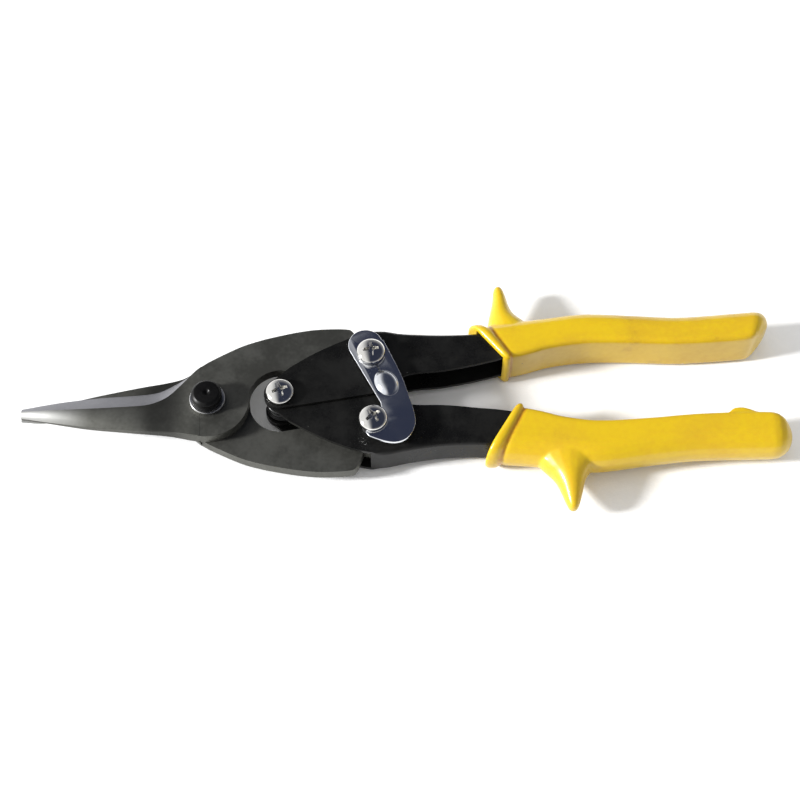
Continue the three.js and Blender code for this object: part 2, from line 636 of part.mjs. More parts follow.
snips.add(
  meshOf('blade_front', blade(FRONT_JAW, BOLT_RADIUS + MAIN_BORE_PLAY), blackSteel),
  meshOf('blade_back', turnedOver(blade(BACK_JAW, BOLT_RADIUS + PLAY)), blackSteel),
  meshOf('main_pivot_bolt', mainBolt(), boltBlack),
  meshOf('main_pivot_washer', ring([0, 0], BOLT_RADIUS + PLAY, BOLT_WASHER_RADIUS,
    [boltWasherSeat, boltWasherSeat + BOLT_WASHER]), zinc),
  meshOf('main_pivot_back_washer', ring([0, 0], BOLT_RADIUS + PLAY, BOLT_WASHER_RADIUS,
    [nutHeight + PLAY, nutHeight + PLAY + BOLT_WASHER]), zinc),
  meshOf('main_pivot_lock_nut', lockNut(nutHeight), zinc),
  meshOf('upper_handle_channel', channel(UPPER), blackPaint),
  meshOf('lower_handle_channel', channel(LOWER), blackPaint),
  meshOf('upper_grip', upperGrip(), vinyl),
  meshOf('lower_grip', lowerGrip(), vinyl),
  meshOf('handle_pivot_barrel', barrelNut(HANDLE_PIVOT, PIN_HEAD_HEIGHT, sleeveTop), zinc),
  meshOf('handle_pivot_screw', panScrew(HANDLE_PIVOT, sleeveTop + PLAY, 4), chrome),
  meshOf('upper_tail_barrel', barrelNut(UPPER_TAIL, FAR_INNER[0] - PLAY, latchTop), zinc),
  meshOf('upper_tail_screw', panScrew(UPPER_TAIL, latchTop + PLAY, 5), chrome),
  meshOf('lower_tail_barrel', barrelNut(LOWER_TAIL, PIN_HEAD_HEIGHT, NEAR_INNER[1]), zinc),
  meshOf('lower_tail_screw', panScrew(LOWER_TAIL, latchTop + PLAY, 4), chrome),
  meshOf('latch_catch_collar', ring(LOWER_TAIL, SCREW_RADIUS + PLAY, 3.6, catchNeck), zinc),
  meshOf('upper_tail_spacer', ring(UPPER_TAIL, pinBore, spacer,
    [FAR_INNER[1] + PLAY, FRONT_BLADE[0] - PLAY]), zinc),
  meshOf('upper_tail_washer', ring(UPPER_TAIL, pinBore, spacer,
    [FRONT_BLADE[1] + PLAY, NEAR_OUTER[0] - PLAY]), zinc),
  meshOf('lower_tail_spacer', ring(LOWER_TAIL, pinBore, spacer,
    [BACK_BLADE[1] + PLAY, NEAR_INNER[0] - PLAY]), zinc),
  meshOf('lower_tail_washer', ring(LOWER_TAIL, pinBore, spacer,
    [FAR_OUTER[1] + PLAY, BACK_BLADE[0] - PLAY]), zinc),
  meshOf('latch_plate', latchPlate(), chrome),
  meshOf('latch_spring_washer', ring(UPPER_TAIL, pinBore, spacer,
    [NEAR_OUTER[1] + PLAY, LATCH[0] - PLAY]), springSteel),
  meshOf('opening_spring', openingSpring(), springSteel),
);

export default snips;
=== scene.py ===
"""Aviation snips: bevelled forged blades on a bolt, folded channel handles with horned vinyl
grips, an opening spring and a swinging latch plate. Lengths below are in millimetres unless a
name says otherwise, and MM turns them into the scene's metres."""
import logging
import math
from collections.abc import Callable, Sequence
from dataclasses import dataclass, field
from enum import Enum

import bmesh
import bpy
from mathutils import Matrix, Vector


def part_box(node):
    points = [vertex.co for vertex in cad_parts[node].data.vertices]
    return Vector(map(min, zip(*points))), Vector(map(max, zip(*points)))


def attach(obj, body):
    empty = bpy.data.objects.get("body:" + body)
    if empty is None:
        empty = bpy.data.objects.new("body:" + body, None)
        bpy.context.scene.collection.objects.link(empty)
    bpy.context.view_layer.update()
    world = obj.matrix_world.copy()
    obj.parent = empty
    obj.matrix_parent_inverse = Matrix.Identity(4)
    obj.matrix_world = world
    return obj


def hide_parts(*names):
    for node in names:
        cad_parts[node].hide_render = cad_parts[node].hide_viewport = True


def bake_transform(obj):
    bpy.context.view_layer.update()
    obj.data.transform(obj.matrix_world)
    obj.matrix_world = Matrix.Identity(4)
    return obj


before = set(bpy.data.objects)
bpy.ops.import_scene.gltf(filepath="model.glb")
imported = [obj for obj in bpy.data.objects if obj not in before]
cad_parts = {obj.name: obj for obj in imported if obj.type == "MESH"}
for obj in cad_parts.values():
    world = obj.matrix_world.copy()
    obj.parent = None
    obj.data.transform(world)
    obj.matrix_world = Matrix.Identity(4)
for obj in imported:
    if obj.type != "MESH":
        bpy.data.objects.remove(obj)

MM = 0.001
Flat = tuple[float, float]
Point = tuple[float, float, float]
Colour = tuple[float, float, float, float]
log = logging.getLogger("snips")


# ---------------------------------------------------------------- plain geometry
def arc(centre: Flat, radius: float, start: float, stop: float, step: float = 7.0) -> list[Flat]:
    """Points on an arc.

    Args:
        centre: middle of the arc.
        radius: its radius.
        start: first angle, in degrees.
        stop: last angle, in degrees.
        step: largest angle between two points.

    Returns:
        The points, both ends included.
    """
    count = max(1, math.ceil(abs(stop - start) / step))
    angles = [math.radians(start + (stop - start) * i / count) for i in range(count + 1)]
    return [(centre[0] + radius * math.cos(a), centre[1] + radius * math.sin(a)) for a in angles]


def height_at(points: Sequence[Flat], x: float) -> float:
    """Height of a smooth line at one x.

    Args:
        points: [x, height] points of the line, in either direction.
        x: where to read it; past an end it keeps that end's height.

    Returns:
        The height there.
    """
    line = list(points) if points[0][0] < points[-1][0] else list(points)[::-1]
    if x <= line[0][0]:
        return line[0][1]
    if x >= line[-1][0]:
        return line[-1][1]
    i = next(k for k, p in enumerate(line) if p[0] >= x)
    (x0, y0), (x1, y1) = line[i - 1], line[i]
    slope = (y1 - y0) / (x1 - x0)
    before = (y1 - line[i - 2][1]) / (x1 - line[i - 2][0]) if i > 1 else slope
    after = (line[i + 1][1] - y0) / (line[i + 1][0] - x0) if i + 1 < len(line) else slope
    t = (x - x0) / (x1 - x0)
    rise = (t**3 - 2 * t * t + t) * (x1 - x0) * before + (t**3 - t * t) * (x1 - x0) * after
    return y0 + (y1 - y0) * t * t * (3 - 2 * t) + rise


def smooth_run(points: Sequence[Flat], count: int) -> list[Flat]:
    """Points along a smooth curve through the given ones.

    Args:
        points: points the curve passes through.
        count: how many pieces to cut the curve into.

    Returns:
        count + 1 points.
    """
    result = []
    last = len(points) - 1
    for k in range(count + 1):
        u = last * k / count
        i = min(int(u), last - 1)
        t = u - i
        p0, p1, p2, p3 = (points[max(0, min(last, i + d))] for d in (-1, 0, 1, 2))
        result.append(tuple(
            0.5 * (2 * b + (c - a) * t + (2 * a - 5 * b + 4 * c - d) * t * t
                   + (3 * b - a - 3 * c + d) * t**3)
            for a, b, c, d in zip(p0, p1, p2, p3)
        ))
    return result


def smoothstep(x: float, low: float, high: float) -> float:
    """Rises smoothly from 0 at low to 1 at high."""
    t = min(1.0, max(0.0, (x - low) / (high - low)))
    return t * t * (3 - 2 * t)


def mirrored(points: Sequence[Flat], side: int) -> list[Flat]:
    """The outline with Y turned to the given side."""
    return [(x, y * side) for x, y in points]


def span(node: str) -> tuple[float, float]:
    """Lowest and highest level of a CAD node, in millimetres."""
    low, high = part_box(node)
    return low[2] / MM, high[2] / MM


def middle(node: str) -> Flat:
    """Plan centre of a CAD node, in millimetres."""
    low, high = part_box(node)
    return (low[0] + high[0]) / 2 / MM, (low[1] + high[1]) / 2 / MM


# ---------------------------------------------------------------- modelling moves
class Bench:
    """Modelling moves that the sub-assemblies share, each made of edit-mode operations."""

    @staticmethod
    def rest() -> None:
        """Leaves edit mode and deselects everything."""
        if bpy.context.object is not None and bpy.context.object.mode != "OBJECT":
            bpy.ops.object.mode_set(mode="OBJECT")
        bpy.ops.object.select_all(action="DESELECT")

    @staticmethod
    def edit(piece: bpy.types.Object) -> None:
        """Opens one piece in edit mode with nothing selected."""
        Bench.rest()
        piece.select_set(True)
        bpy.context.view_layer.objects.active = piece
        bpy.ops.object.mode_set(mode="EDIT")
        bpy.ops.mesh.select_mode(type="VERT")
        bpy.ops.mesh.select_all(action="DESELECT")

    @staticmethod
    def pick(piece: bpy.types.Object, kind: str, test: Callable[..., bool]) -> int:
        """Selects verts, edges or faces in edit mode by a test of their place.

        Args:
            piece: the piece in edit mode.
            kind: "verts", "edges" or "faces".
            test: says of one element whether it is wanted.

        Returns:
            How many were selected.
        """
        mesh = bmesh.from_edit_mesh(piece.data)
        mode = {"verts": "VERT", "edges": "EDGE", "faces": "FACE"}[kind]
        bpy.ops.mesh.select_mode(type=mode)
        bpy.ops.mesh.select_all(action="DESELECT")
        chosen = [part for part in getattr(mesh, kind) if test(part)]
        for part in chosen:
            part.select_set(True)
        mesh.select_flush_mode()
        bmesh.update_edit_mesh(piece.data)
        return len(chosen)

    @staticmethod
    def trace(name: str, lines: Sequence[Sequence[Point]], closed: bool) -> bpy.types.Object:
        """Draws lines of edges by extruding one vertex after another.

        Args:
            name: name of the new piece.
            lines: the lines' points, in millimetres.
            closed: whether each line ends where it began.

        Returns:
            The new piece, in edit mode.
        """
        Bench.rest()
        first = Vector(lines[0][0]) * MM
        bpy.ops.mesh.primitive_plane_add(size=MM, location=first)
        piece = bpy.context.object
        piece.name = name
        piece.data.name = name
        bpy.ops.object.transform_apply(location=True, rotation=True, scale=True)
        Bench.edit(piece)
        bpy.ops.mesh.select_all(action="SELECT")
        bpy.ops.mesh.merge(type="CENTER")
        for number, line in enumerate(lines):
            if number:
                bpy.ops.mesh.select_all(action="DESELECT")
                bpy.ops.mesh.primitive_plane_add(size=MM, location=Vector(line[0]) * MM)
                bpy.ops.mesh.merge(type="CENTER")
            stops = [Vector(p) * MM for p in line]
            if closed:
                stops.append(stops[0])
            for here, there in zip(stops, stops[1:]):
                move = {"value": there - here}
                bpy.ops.mesh.extrude_region_move(TRANSFORM_OT_translate=move)
            if closed:
                Bench.weld_line(piece, stops[0])
        return piece

    @staticmethod
    def weld_line(piece: bpy.types.Object, at: Vector) -> None:
        """Joins the two ends of a line that meet at one place."""
        near = 0.002 * MM
        Bench.pick(piece, "verts", lambda v: (v.co - at).length < near)
        bpy.ops.mesh.merge(type="CENTER")

    @staticmethod
    def skin(name: str, lines: Sequence[Sequence[Point]]) -> bpy.types.Object:
        """Traces closed rings of equal length, bridges each to the next and fills the ends.

        Args:
            name: name of the new piece.
            lines: the rings, in millimetres.

        Returns:
            The closed piece, in object mode.
        """
        piece = Bench.trace(name, lines, True)
        bpy.ops.mesh.select_all(action="SELECT")
        bpy.ops.mesh.bridge_edge_loops()
        Bench.pick(piece, "edges", lambda e: e.is_boundary)
        bpy.ops.mesh.fill_holes(sides=0)
        Bench.outward(piece)
        return piece

    @staticmethod
    def outward(piece: bpy.types.Object) -> None:
        """Merges doubles, turns the faces outwards and leaves edit mode."""
        bpy.ops.mesh.select_all(action="SELECT")
        bpy.ops.mesh.remove_doubles(threshold=0.002 * MM)
        bpy.ops.mesh.normals_make_consistent(inside=False)
        Bench.rest()

    @staticmethod
    def slab(name: str, outline: Sequence[Flat], low: float, high: float) -> bpy.types.Object:
        """Plan outline filled and extruded between two levels.

        Args:
            name: name of the new piece.
            outline: the plan outline, in millimetres.
            low: lower level.
            high: upper level.

        Returns:
            The closed piece, in object mode.
        """
        piece = Bench.trace(name, [[(x, y, low) for x, y in outline]], True)
        bpy.ops.mesh.select_all(action="SELECT")
        bpy.ops.mesh.edge_face_add()
        move = {"value": (0, 0, (high - low) * MM)}
        bpy.ops.mesh.extrude_region_move(TRANSFORM_OT_translate=move)
        Bench.outward(piece)
        return piece

    @staticmethod
    def turn(name: str, profile: Sequence[Flat], centre: Flat, steps: int = 56) -> bpy.types.Object:
        """Spins a profile about a vertical axis.

        Args:
            name: name of the new piece.
            profile: [radius, level] points, from the axis back to the axis or closed.
            centre: plan place of the axis.
            steps: faces round the piece.

        Returns:
            The closed piece, in object mode.
        """
        x, y = centre
        piece = Bench.trace(name, [[(x + r, y, z) for r, z in profile]], profile[0][0] > 0)
        bpy.ops.mesh.select_all(action="SELECT")
        bpy.ops.mesh.spin(steps=steps, angle=math.tau, center=(x * MM, y * MM, 0), axis=(0, 0, 1))
        Bench.outward(piece)
        return piece

    @staticmethod
    def modify(piece: bpy.types.Object, kind: str, **settings: object) -> None:
        """Adds a modifier with the given settings and applies it."""
        Bench.rest()
        piece.select_set(True)
        bpy.context.view_layer.objects.active = piece
        modifier = piece.modifiers.new(kind.title(), kind)
        for key, value in settings.items():
            setattr(modifier, key, value)
        bpy.ops.object.modifier_apply(modifier=modifier.name)
        Bench.rest()

    @staticmethod
    def combine(piece: bpy.types.Object, tool: bpy.types.Object, how: str) -> None:
        """Cuts a piece with a tool, or joins the tool to it, and takes the tool away.

        Args:
            piece: the piece that stays.
            tool: the shape that cuts or is joined.
            how: "DIFFERENCE", "UNION" or "INTERSECT".
        """
        Bench.modify(piece, "BOOLEAN", object=tool, operation=how, solver="EXACT")
        bpy.data.objects.remove(tool)

    @staticmethod
    def bore(piece: bpy.types.Object, centre: Flat, radius: float, low: float, high: float) -> None:
        """Cuts a round hole through a piece between two levels."""
        tool = Bench.turn("bore", rod(radius, low - 1, high + 1), centre)
        Bench.combine(piece, tool, "DIFFERENCE")

    @staticmethod
    def soften(piece: bpy.types.Object, width: float, segments: int = 2, angle: float = 38) -> None:
        """Breaks a piece's sharp edges and shades the rest smooth.

        Args:
            piece: the piece.
            width: width of the broken edge, in millimetres.
            segments: faces across it.
            angle: edges sharper than this are broken, in degrees.
        """
        Bench.modify(piece, "BEVEL", width=width * MM, segments=segments, limit_method="ANGLE",
                     angle_limit=math.radians(angle))
        Bench.shade(piece, angle)
        Bench.modify(piece, "WEIGHTED_NORMAL", keep_sharp=True, weight=90)

    @staticmethod
    def shade(piece: bpy.types.Object, angle: float = 35) -> None:
        """Smooth shading up to an angle, in degrees."""
        Bench.rest()
        piece.select_set(True)
        bpy.context.view_layer.objects.active = piece
        bpy.ops.object.shade_smooth_by_angle(angle=math.radians(angle))
        Bench.rest()


def rod(radius: float, low: float, high: float) -> list[Flat]:
    """Turning profile of a plain rod."""
    return [(0, low), (radius, low), (radius, high), (0, high)]


def collar(inner: float, outer: float, low: float, high: float, chamfer: float) -> list[Flat]:
    """Closed turning profile of a ring with its outer corners broken."""
    return [(inner, low), (outer - chamfer, low), (outer, low + chamfer), (outer, high - chamfer),
            (outer - chamfer, high), (inner, high)]


# ---------------------------------------------------------------- shader helpers
class Graph:
    """Adds nodes to one tree and wires them."""

    def __init__(self, tree: bpy.types.NodeTree) -> None:
        """Keeps the tree that nodes are added to."""
        self.tree = tree

    def add(self, kind: str, inputs: dict | None = None, **settings: object) -> bpy.types.Node:
        """Adds one node.

        Args:
            kind: the node's type name, without the ShaderNode prefix.
            inputs: socket name or number to a value, or to an output socket to link.
            settings: the node's own properties.

        Returns:
            The node.
        """
        node = self.tree.nodes.new("ShaderNode" + kind)
        for key, value in settings.items():
            setattr(node, key, value)
        for key, value in (inputs or {}).items():
            if isinstance(value, bpy.types.NodeSocket):
                self.tree.links.new(value, node.inputs[key])
            else:
                node.inputs[key].default_value = value
        return node

    def noise(self, at: bpy.types.NodeSocket, scale: object, detail: float = 3.0,
              rough: float = 0.55) -> bpy.types.NodeSocket:
        """Noise value at a place."""
        inputs = {"Vector": at, "Scale": scale, "Detail": detail, "Roughness": rough}
        return self.add("TexNoise", inputs).outputs["Fac"]

    def ramp(self, value: bpy.types.NodeSocket, low: object, high: object,
             to_low: object = 0.0, to_high: object = 1.0) -> bpy.types.NodeSocket:
        """Value mapped smoothly and held between two limits."""
        inputs = {"Value": value, "From Min": low, "From Max": high, "To Min": to_low,
                  "To Max": to_high}
        return self.add("MapRange", inputs, interpolation_type="SMOOTHSTEP").outputs["Result"]

    def maths(self, operation: str, a: object, b: object = 0.0) -> bpy.types.NodeSocket:
        """Result of one sum on two values."""
        return self.add("Math", {0: a, 1: b}, operation=operation).outputs["Value"]

    def mix(self, factor: object, a: object, b: object) -> bpy.types.NodeSocket:
        """Colour between two colours."""
        node = self.add("Mix", {"Factor": factor}, data_type="RGBA")
        colours = [s for s in node.inputs if s.type == "RGBA"]
        for socket, value in zip(colours, (a, b)):
            if isinstance(value, bpy.types.NodeSocket):
                self.tree.links.new(value, socket)
            else:
                socket.default_value = value
        return next(s for s in node.outputs if s.type == "RGBA")


def effect(name: str, numbers: dict[str, float], outputs: Sequence[str],
           build: Callable[[Graph, bpy.types.NodeSocket, dict], dict]) -> bpy.types.NodeTree:
    """A shader node group with named number inputs and value outputs.

    Args:
        name: the group's name.
        numbers: input names and their usual values.
        outputs: output names.
        build: wires the group from its place and its inputs, and returns its outputs.

    Returns:
        The group, made once and found again by its name.
    """
    if name in bpy.data.node_groups:
        return bpy.data.node_groups[name]
    tree = bpy.data.node_groups.new(name, "ShaderNodeTree")
    tree.interface.new_socket("Place", in_out="INPUT", socket_type="NodeSocketVector")
    for key, value in numbers.items():
        socket = tree.interface.new_socket(key, in_out="INPUT", socket_type="NodeSocketFloat")
        socket.default_value = value
    for key in outputs:
        tree.interface.new_socket(key, in_out="OUTPUT", socket_type="NodeSocketFloat")
    start = tree.nodes.new("NodeGroupInput")
    end = tree.nodes.new("NodeGroupOutput")
    graph = Graph(tree)
    made = build(graph, start.outputs["Place"], {key: start.outputs[key] for key in numbers})
    for key, value in made.items():
        tree.links.new(value, end.inputs[key])
    return tree


def mottle_effect() -> bpy.types.NodeTree:
    """Cloudy variation at one scale with finer grain on it."""
    def build(graph: Graph, place: bpy.types.NodeSocket, numbers: dict) -> dict:
        """Wires broad clouds and fine grain."""
        broad = graph.noise(place, numbers["Scale"], 4.0, 0.6)
        fine = graph.noise(place, graph.maths("MULTIPLY", numbers["Scale"], 14.0), 2.0, 0.5)
        both = graph.maths("ADD", graph.maths("MULTIPLY", broad, 0.75),
                           graph.maths("MULTIPLY", fine, 0.25))
        return {"Cloud": graph.ramp(both, 0.33, 0.67), "Grain": fine}
    return effect("surface_mottle", {"Scale": 60.0}, ("Cloud", "Grain"), build)


def scratch_effect() -> bpy.types.NodeTree:
    """Thin streaks along X, with an amount between none and many."""
    def build(graph: Graph, place: bpy.types.NodeSocket, numbers: dict) -> dict:
        """Wires noise stretched along X and cut to thin lines."""
        stretch = graph.add("Mapping", {"Vector": place, "Scale": (0.035, 1.0, 1.0)})
        streaks = graph.noise(stretch.outputs["Vector"], numbers["Scale"], 5.0, 0.75)
        cut = graph.maths("SUBTRACT", 0.78, graph.maths("MULTIPLY", numbers["Amount"], 0.3))
        mask = graph.ramp(streaks, cut, graph.maths("ADD", cut, 0.06))
        return {"Mask": mask, "Streaks": streaks}
    return effect("fine_streaks", {"Scale": 2500.0, "Amount": 0.5}, ("Mask", "Streaks"), build)


def speck_effect() -> bpy.types.NodeTree:
    """Small scattered specks, few and uneven in size."""
    def build(graph: Graph, place: bpy.types.NodeSocket, numbers: dict) -> dict:
        """Wires cell points thinned out by their own random number."""
        cells = graph.add("TexVoronoi", {"Vector": place, "Scale": numbers["Scale"]})
        chance = graph.add("SeparateColor", {"Color": cells.outputs["Color"]})
        size = graph.maths("MULTIPLY", chance.outputs["Green"], 0.16)
        dot = graph.ramp(cells.outputs["Distance"], size, 0.0)
        keep = graph.maths("LESS_THAN", chance.outputs["Red"], numbers["Amount"])
        return {"Mask": graph.maths("MULTIPLY", dot, keep)}
    return effect("dust_specks", {"Scale": 500.0, "Amount": 0.1}, ("Mask",), build)


def group(graph: Graph, tree: bpy.types.NodeTree, place: bpy.types.NodeSocket,
          **numbers: float) -> bpy.types.Node:
    """Places an effect group in a material with its own values."""
    node = graph.tree.nodes.new("ShaderNodeGroup")
    node.node_tree = tree
    graph.tree.links.new(place, node.inputs["Place"])
    for key, value in numbers.items():
        node.inputs[key].default_value = value
    return node


@dataclass(frozen=True)
class Finish:
    """A finish of one material: its name and how its surface is made."""

    name: str
    slot: str

    def material(self) -> bpy.types.Material:
        """The finish as a material, made once and found again by its name.

        Returns:
            The material.
        """
        if self.name in bpy.data.materials:
            return bpy.data.materials[self.name]
        material = bpy.data.materials.new(self.name)
        material.use_nodes = True
        tree = material.node_tree
        tree.nodes.clear()
        graph = Graph(tree)
        shader = graph.add("BsdfPrincipled")
        output = graph.add("OutputMaterial", {"Surface": shader.outputs["BSDF"]})
        output.location = (400, 0)
        place = graph.add("TexCoord").outputs["Object"]
        self.wire(graph, shader, place)
        return material

    def wire(self, graph: Graph, shader: bpy.types.Node, place: bpy.types.NodeSocket) -> None:
        """Wires the surface into the shader; each finish has its own."""
        raise NotImplementedError

    @staticmethod
    def feed(graph: Graph, shader: bpy.types.Node, **sockets: bpy.types.NodeSocket) -> None:
        """Links outputs to the shader's inputs, underscores standing for spaces."""
        for key, value in sockets.items():
            graph.tree.links.new(value, shader.inputs[key.replace("_", " ")])

    @staticmethod
    def bump(graph: Graph, height: bpy.types.NodeSocket, distance: float,
             strength: float = 1.0) -> bpy.types.NodeSocket:
        """Bump normal from a height, its distance in millimetres."""
        inputs = {"Height": height, "Distance": distance * MM, "Strength": strength}
        return graph.add("Bump", inputs).outputs["Normal"]


@dataclass(frozen=True)
class Steel(Finish):
    """Bare or oxidised steel, brushed along the tool."""

    dark: Colour = (0.105, 0.105, 0.093, 1)
    light: Colour = (0.15, 0.15, 0.136, 1)
    worn: Colour = (0.32, 0.32, 0.3, 1)
    wear: float = 0.25
    smooth: float = 0.5
    rough: float = 0.58
    # Painted highlight: the next colour and the tip fields lighten up-facing faces near the tip,
    # standing in for the key light's glint.
    tip_highlight_colour: Colour = (0.72, 0.72, 0.7, 1)
    # Painted shade: the next colour and the throat fields darken the throat, standing in for the
    # shade of its concave fillet.
    throat_shade_colour: Colour = (0.035, 0.035, 0.033, 1)
    tip_highlight: float = 0.0
    highlight_from: float = -36.0
    highlight_full: float = -58.0
    throat_shade: float = 0.0
    hollow_at: float = -15.0
    hollow_reach: Flat = (12.0, 2.0)
    grain: float = 0.012
    streak_scale: float = 2600.0

    def wire(self, graph: Graph, shader: bpy.types.Node, place: bpy.types.NodeSocket) -> None:
        """Wires cloudy colour, fine streaks and their bump, a painted highlight on the up-facing
        tip and painted shade in the throat.
        """
        cloud = group(graph, mottle_effect(), place, Scale=70.0)
        streak = group(graph, scratch_effect(), place, Scale=self.streak_scale, Amount=self.wear)
        base = graph.mix(cloud.outputs["Cloud"], self.dark, self.light)
        along = graph.add("SeparateXYZ", {"Vector": place}).outputs["X"]
        facing = graph.add("SeparateXYZ", {
            "Vector": graph.add("NewGeometry").outputs["Normal"]}).outputs["Z"]
        # Painted highlight: up-facing faces towards the tip get a light colour, standing in for the
        # key light's glint on the crest.
        rub_and_highlight = graph.maths("MULTIPLY", graph.ramp(facing, 0.4, 0.85),
                             graph.ramp(along, self.highlight_from * MM, self.highlight_full * MM, 0.0,
                                        self.tip_highlight))
        # Painted shade: a dark colour laid across the throat, standing in for the shade of its
        # concave fillet.
        off = graph.maths("ABSOLUTE", graph.maths("SUBTRACT", along, self.hollow_at * MM))
        outer, inner = self.hollow_reach
        throat_shade_mask = graph.ramp(off, outer * MM, inner * MM, 0.0, self.throat_shade)
        base = graph.mix(throat_shade_mask, graph.mix(rub_and_highlight, base, self.tip_highlight_colour), self.throat_shade_colour)
        scuffed = graph.maths("MULTIPLY", streak.outputs["Mask"], 0.55)
        rough = graph.ramp(cloud.outputs["Cloud"], 0.0, 1.0, self.smooth, self.rough)
        height = graph.maths("ADD", streak.outputs["Streaks"],
                             graph.maths("MULTIPLY", cloud.outputs["Grain"], 0.6))
        shader.inputs["Metallic"].default_value = 1.0
        self.feed(graph, shader, Base_Color=graph.mix(scuffed, base, self.worn), Roughness=rough,
                  Normal=self.bump(graph, height, self.grain))


@dataclass(frozen=True)
class Plated(Finish):
    """Bright plating with faint smears and hairline marks."""

    colour: Colour = (0.83, 0.82, 0.79, 1)
    shade: Colour = (0.6, 0.59, 0.565, 1)
    smooth: float = 0.06
    rough: float = 0.15
    marks: float = 0.2

    def wire(self, graph: Graph, shader: bpy.types.Node, place: bpy.types.NodeSocket) -> None:
        """Wires smeary roughness and hairlines over the plating."""
        cloud = group(graph, mottle_effect(), place, Scale=190.0)
        streak = group(graph, scratch_effect(), place, Scale=5200.0, Amount=self.marks)
        rough = graph.ramp(cloud.outputs["Cloud"], 0.0, 1.0, self.smooth, self.rough)
        shade = graph.maths("MULTIPLY", cloud.outputs["Cloud"], 0.35)
        shader.inputs["Metallic"].default_value = 1.0
        self.feed(graph, shader, Base_Color=graph.mix(shade, self.colour, self.shade),
                  Roughness=graph.maths("ADD", rough,
                                        graph.maths("MULTIPLY", streak.outputs["Mask"], 0.18)),
                  Normal=self.bump(graph, streak.outputs["Streaks"], 0.004))


@dataclass(frozen=True)
class Enamel(Finish):
    """Black enamel with a slight orange peel, dust specks and rub-worn streaks."""

    colour: Colour = (0.004, 0.004, 0.004, 1)
    dusty: Colour = (0.009, 0.009, 0.0085, 1)
    speck: Colour = (0.16, 0.16, 0.15, 1)
    smooth: float = 0.26
    rough: float = 0.4

    def wire(self, graph: Graph, shader: bpy.types.Node, place: bpy.types.NodeSocket) -> None:
        """Wires the peel, the specks and the dull patches."""
        cloud = group(graph, mottle_effect(), place, Scale=110.0)
        speck = group(graph, speck_effect(), place, Scale=620.0, Amount=0.07)
        streak = group(graph, scratch_effect(), place, Scale=3200.0, Amount=0.12)
        body = graph.mix(cloud.outputs["Cloud"], self.colour, self.dusty)
        marked = graph.mix(speck.outputs["Mask"], body, self.speck)
        rub_and_highlight = graph.maths("MULTIPLY", streak.outputs["Mask"], 0.25)
        rough = graph.ramp(cloud.outputs["Cloud"], 0.0, 1.0, self.smooth, self.rough)
        peel = graph.noise(place, 900.0, 2.0, 0.5)
        height = graph.maths("ADD", peel, graph.maths("MULTIPLY", speck.outputs["Mask"], 0.2))
        shader.inputs["Metallic"].default_value = 0.0
        shader.inputs["Specular IOR Level"].default_value = 0.17
        shader.inputs["Coat Weight"].default_value = 0.02
        shader.inputs["Coat Roughness"].default_value = 0.15
        self.feed(graph, shader, Base_Color=graph.mix(rub_and_highlight, marked, self.speck),
                  Roughness=rough, Normal=self.bump(graph, height, 0.02))


@dataclass(frozen=True)
class Vinyl(Finish):
    """Dipped vinyl: even colour with cloudy deeper patches and a darker band in the groove behind
    the bead, fine dirt specks, a soft gloss.
    """

    colour: Colour = (0.57, 0.385, 0.0025, 1)
    deep: Colour = (0.51, 0.315, 0.002, 1)
    dirt: Colour = (0.09, 0.05, 0.01, 1)
    groove: Colour = (0.4, 0.17, 0.003, 1)
    grime: Colour = (0.3, 0.17, 0.012, 1)
    bead_at: Flat = (92.0, 0.0)
    bead_turn: float = 0.0

    def wire(self, graph: Graph, shader: bpy.types.Node, place: bpy.types.NodeSocket) -> None:
        """Wires the colour, the specks, and a darker band in the groove behind the bead."""
        cloud = group(graph, mottle_effect(), place, Scale=42.0)
        speck = group(graph, speck_effect(), place, Scale=420.0, Amount=0.05)
        body = graph.mix(cloud.outputs["Cloud"], self.colour, self.deep)
        turn = graph.add("Mapping", {
            "Vector": place,
            "Location": (-self.bead_at[0] * MM, -self.bead_at[1] * MM, 0),
        })
        spun = graph.add("VectorRotate", {"Vector": turn.outputs["Vector"],
                                          "Angle": self.bead_turn}, rotation_type="Z_AXIS")
        along = graph.add("SeparateXYZ", {"Vector": spun.outputs["Vector"]}).outputs["X"]
        # A darker, redder band in the groove just behind the bead, patchy along the fine grain.
        off = graph.maths("ABSOLUTE", graph.maths("SUBTRACT", along, 2.15 * MM))
        groove_band = graph.maths("MULTIPLY", graph.ramp(off, 1.15 * MM, 0.1 * MM),
                            graph.ramp(cloud.outputs["Grain"], 0.3, 0.6, 0.6, 0.95))
        handled = graph.ramp(graph.noise(place, 85.0, 5.0, 0.65), 0.6, 0.76, 0.0, 0.42)
        grimed_and_banded = graph.mix(groove_band, graph.mix(handled, body, self.grime), self.groove)
        rough = graph.ramp(cloud.outputs["Cloud"], 0.0, 1.0, 0.3, 0.42)
        height = graph.maths("ADD", graph.noise(place, 700.0, 3.0, 0.5),
                             graph.maths("MULTIPLY", graph.noise(place, 160.0, 2.0, 0.5), 1.5))
        shader.inputs["Subsurface Weight"].default_value = 0.12
        shader.inputs["Subsurface Radius"].default_value = (1.0, 0.55, 0.1)
        shader.inputs["Subsurface Scale"].default_value = 1.5 * MM
        shader.inputs["Coat Weight"].default_value = 0.35
        shader.inputs["Coat Roughness"].default_value = 0.12
        self.feed(graph, shader, Base_Color=graph.mix(speck.outputs["Mask"], grimed_and_banded, self.dirt),
                  Roughness=rough, Normal=self.bump(graph, height, 0.018))


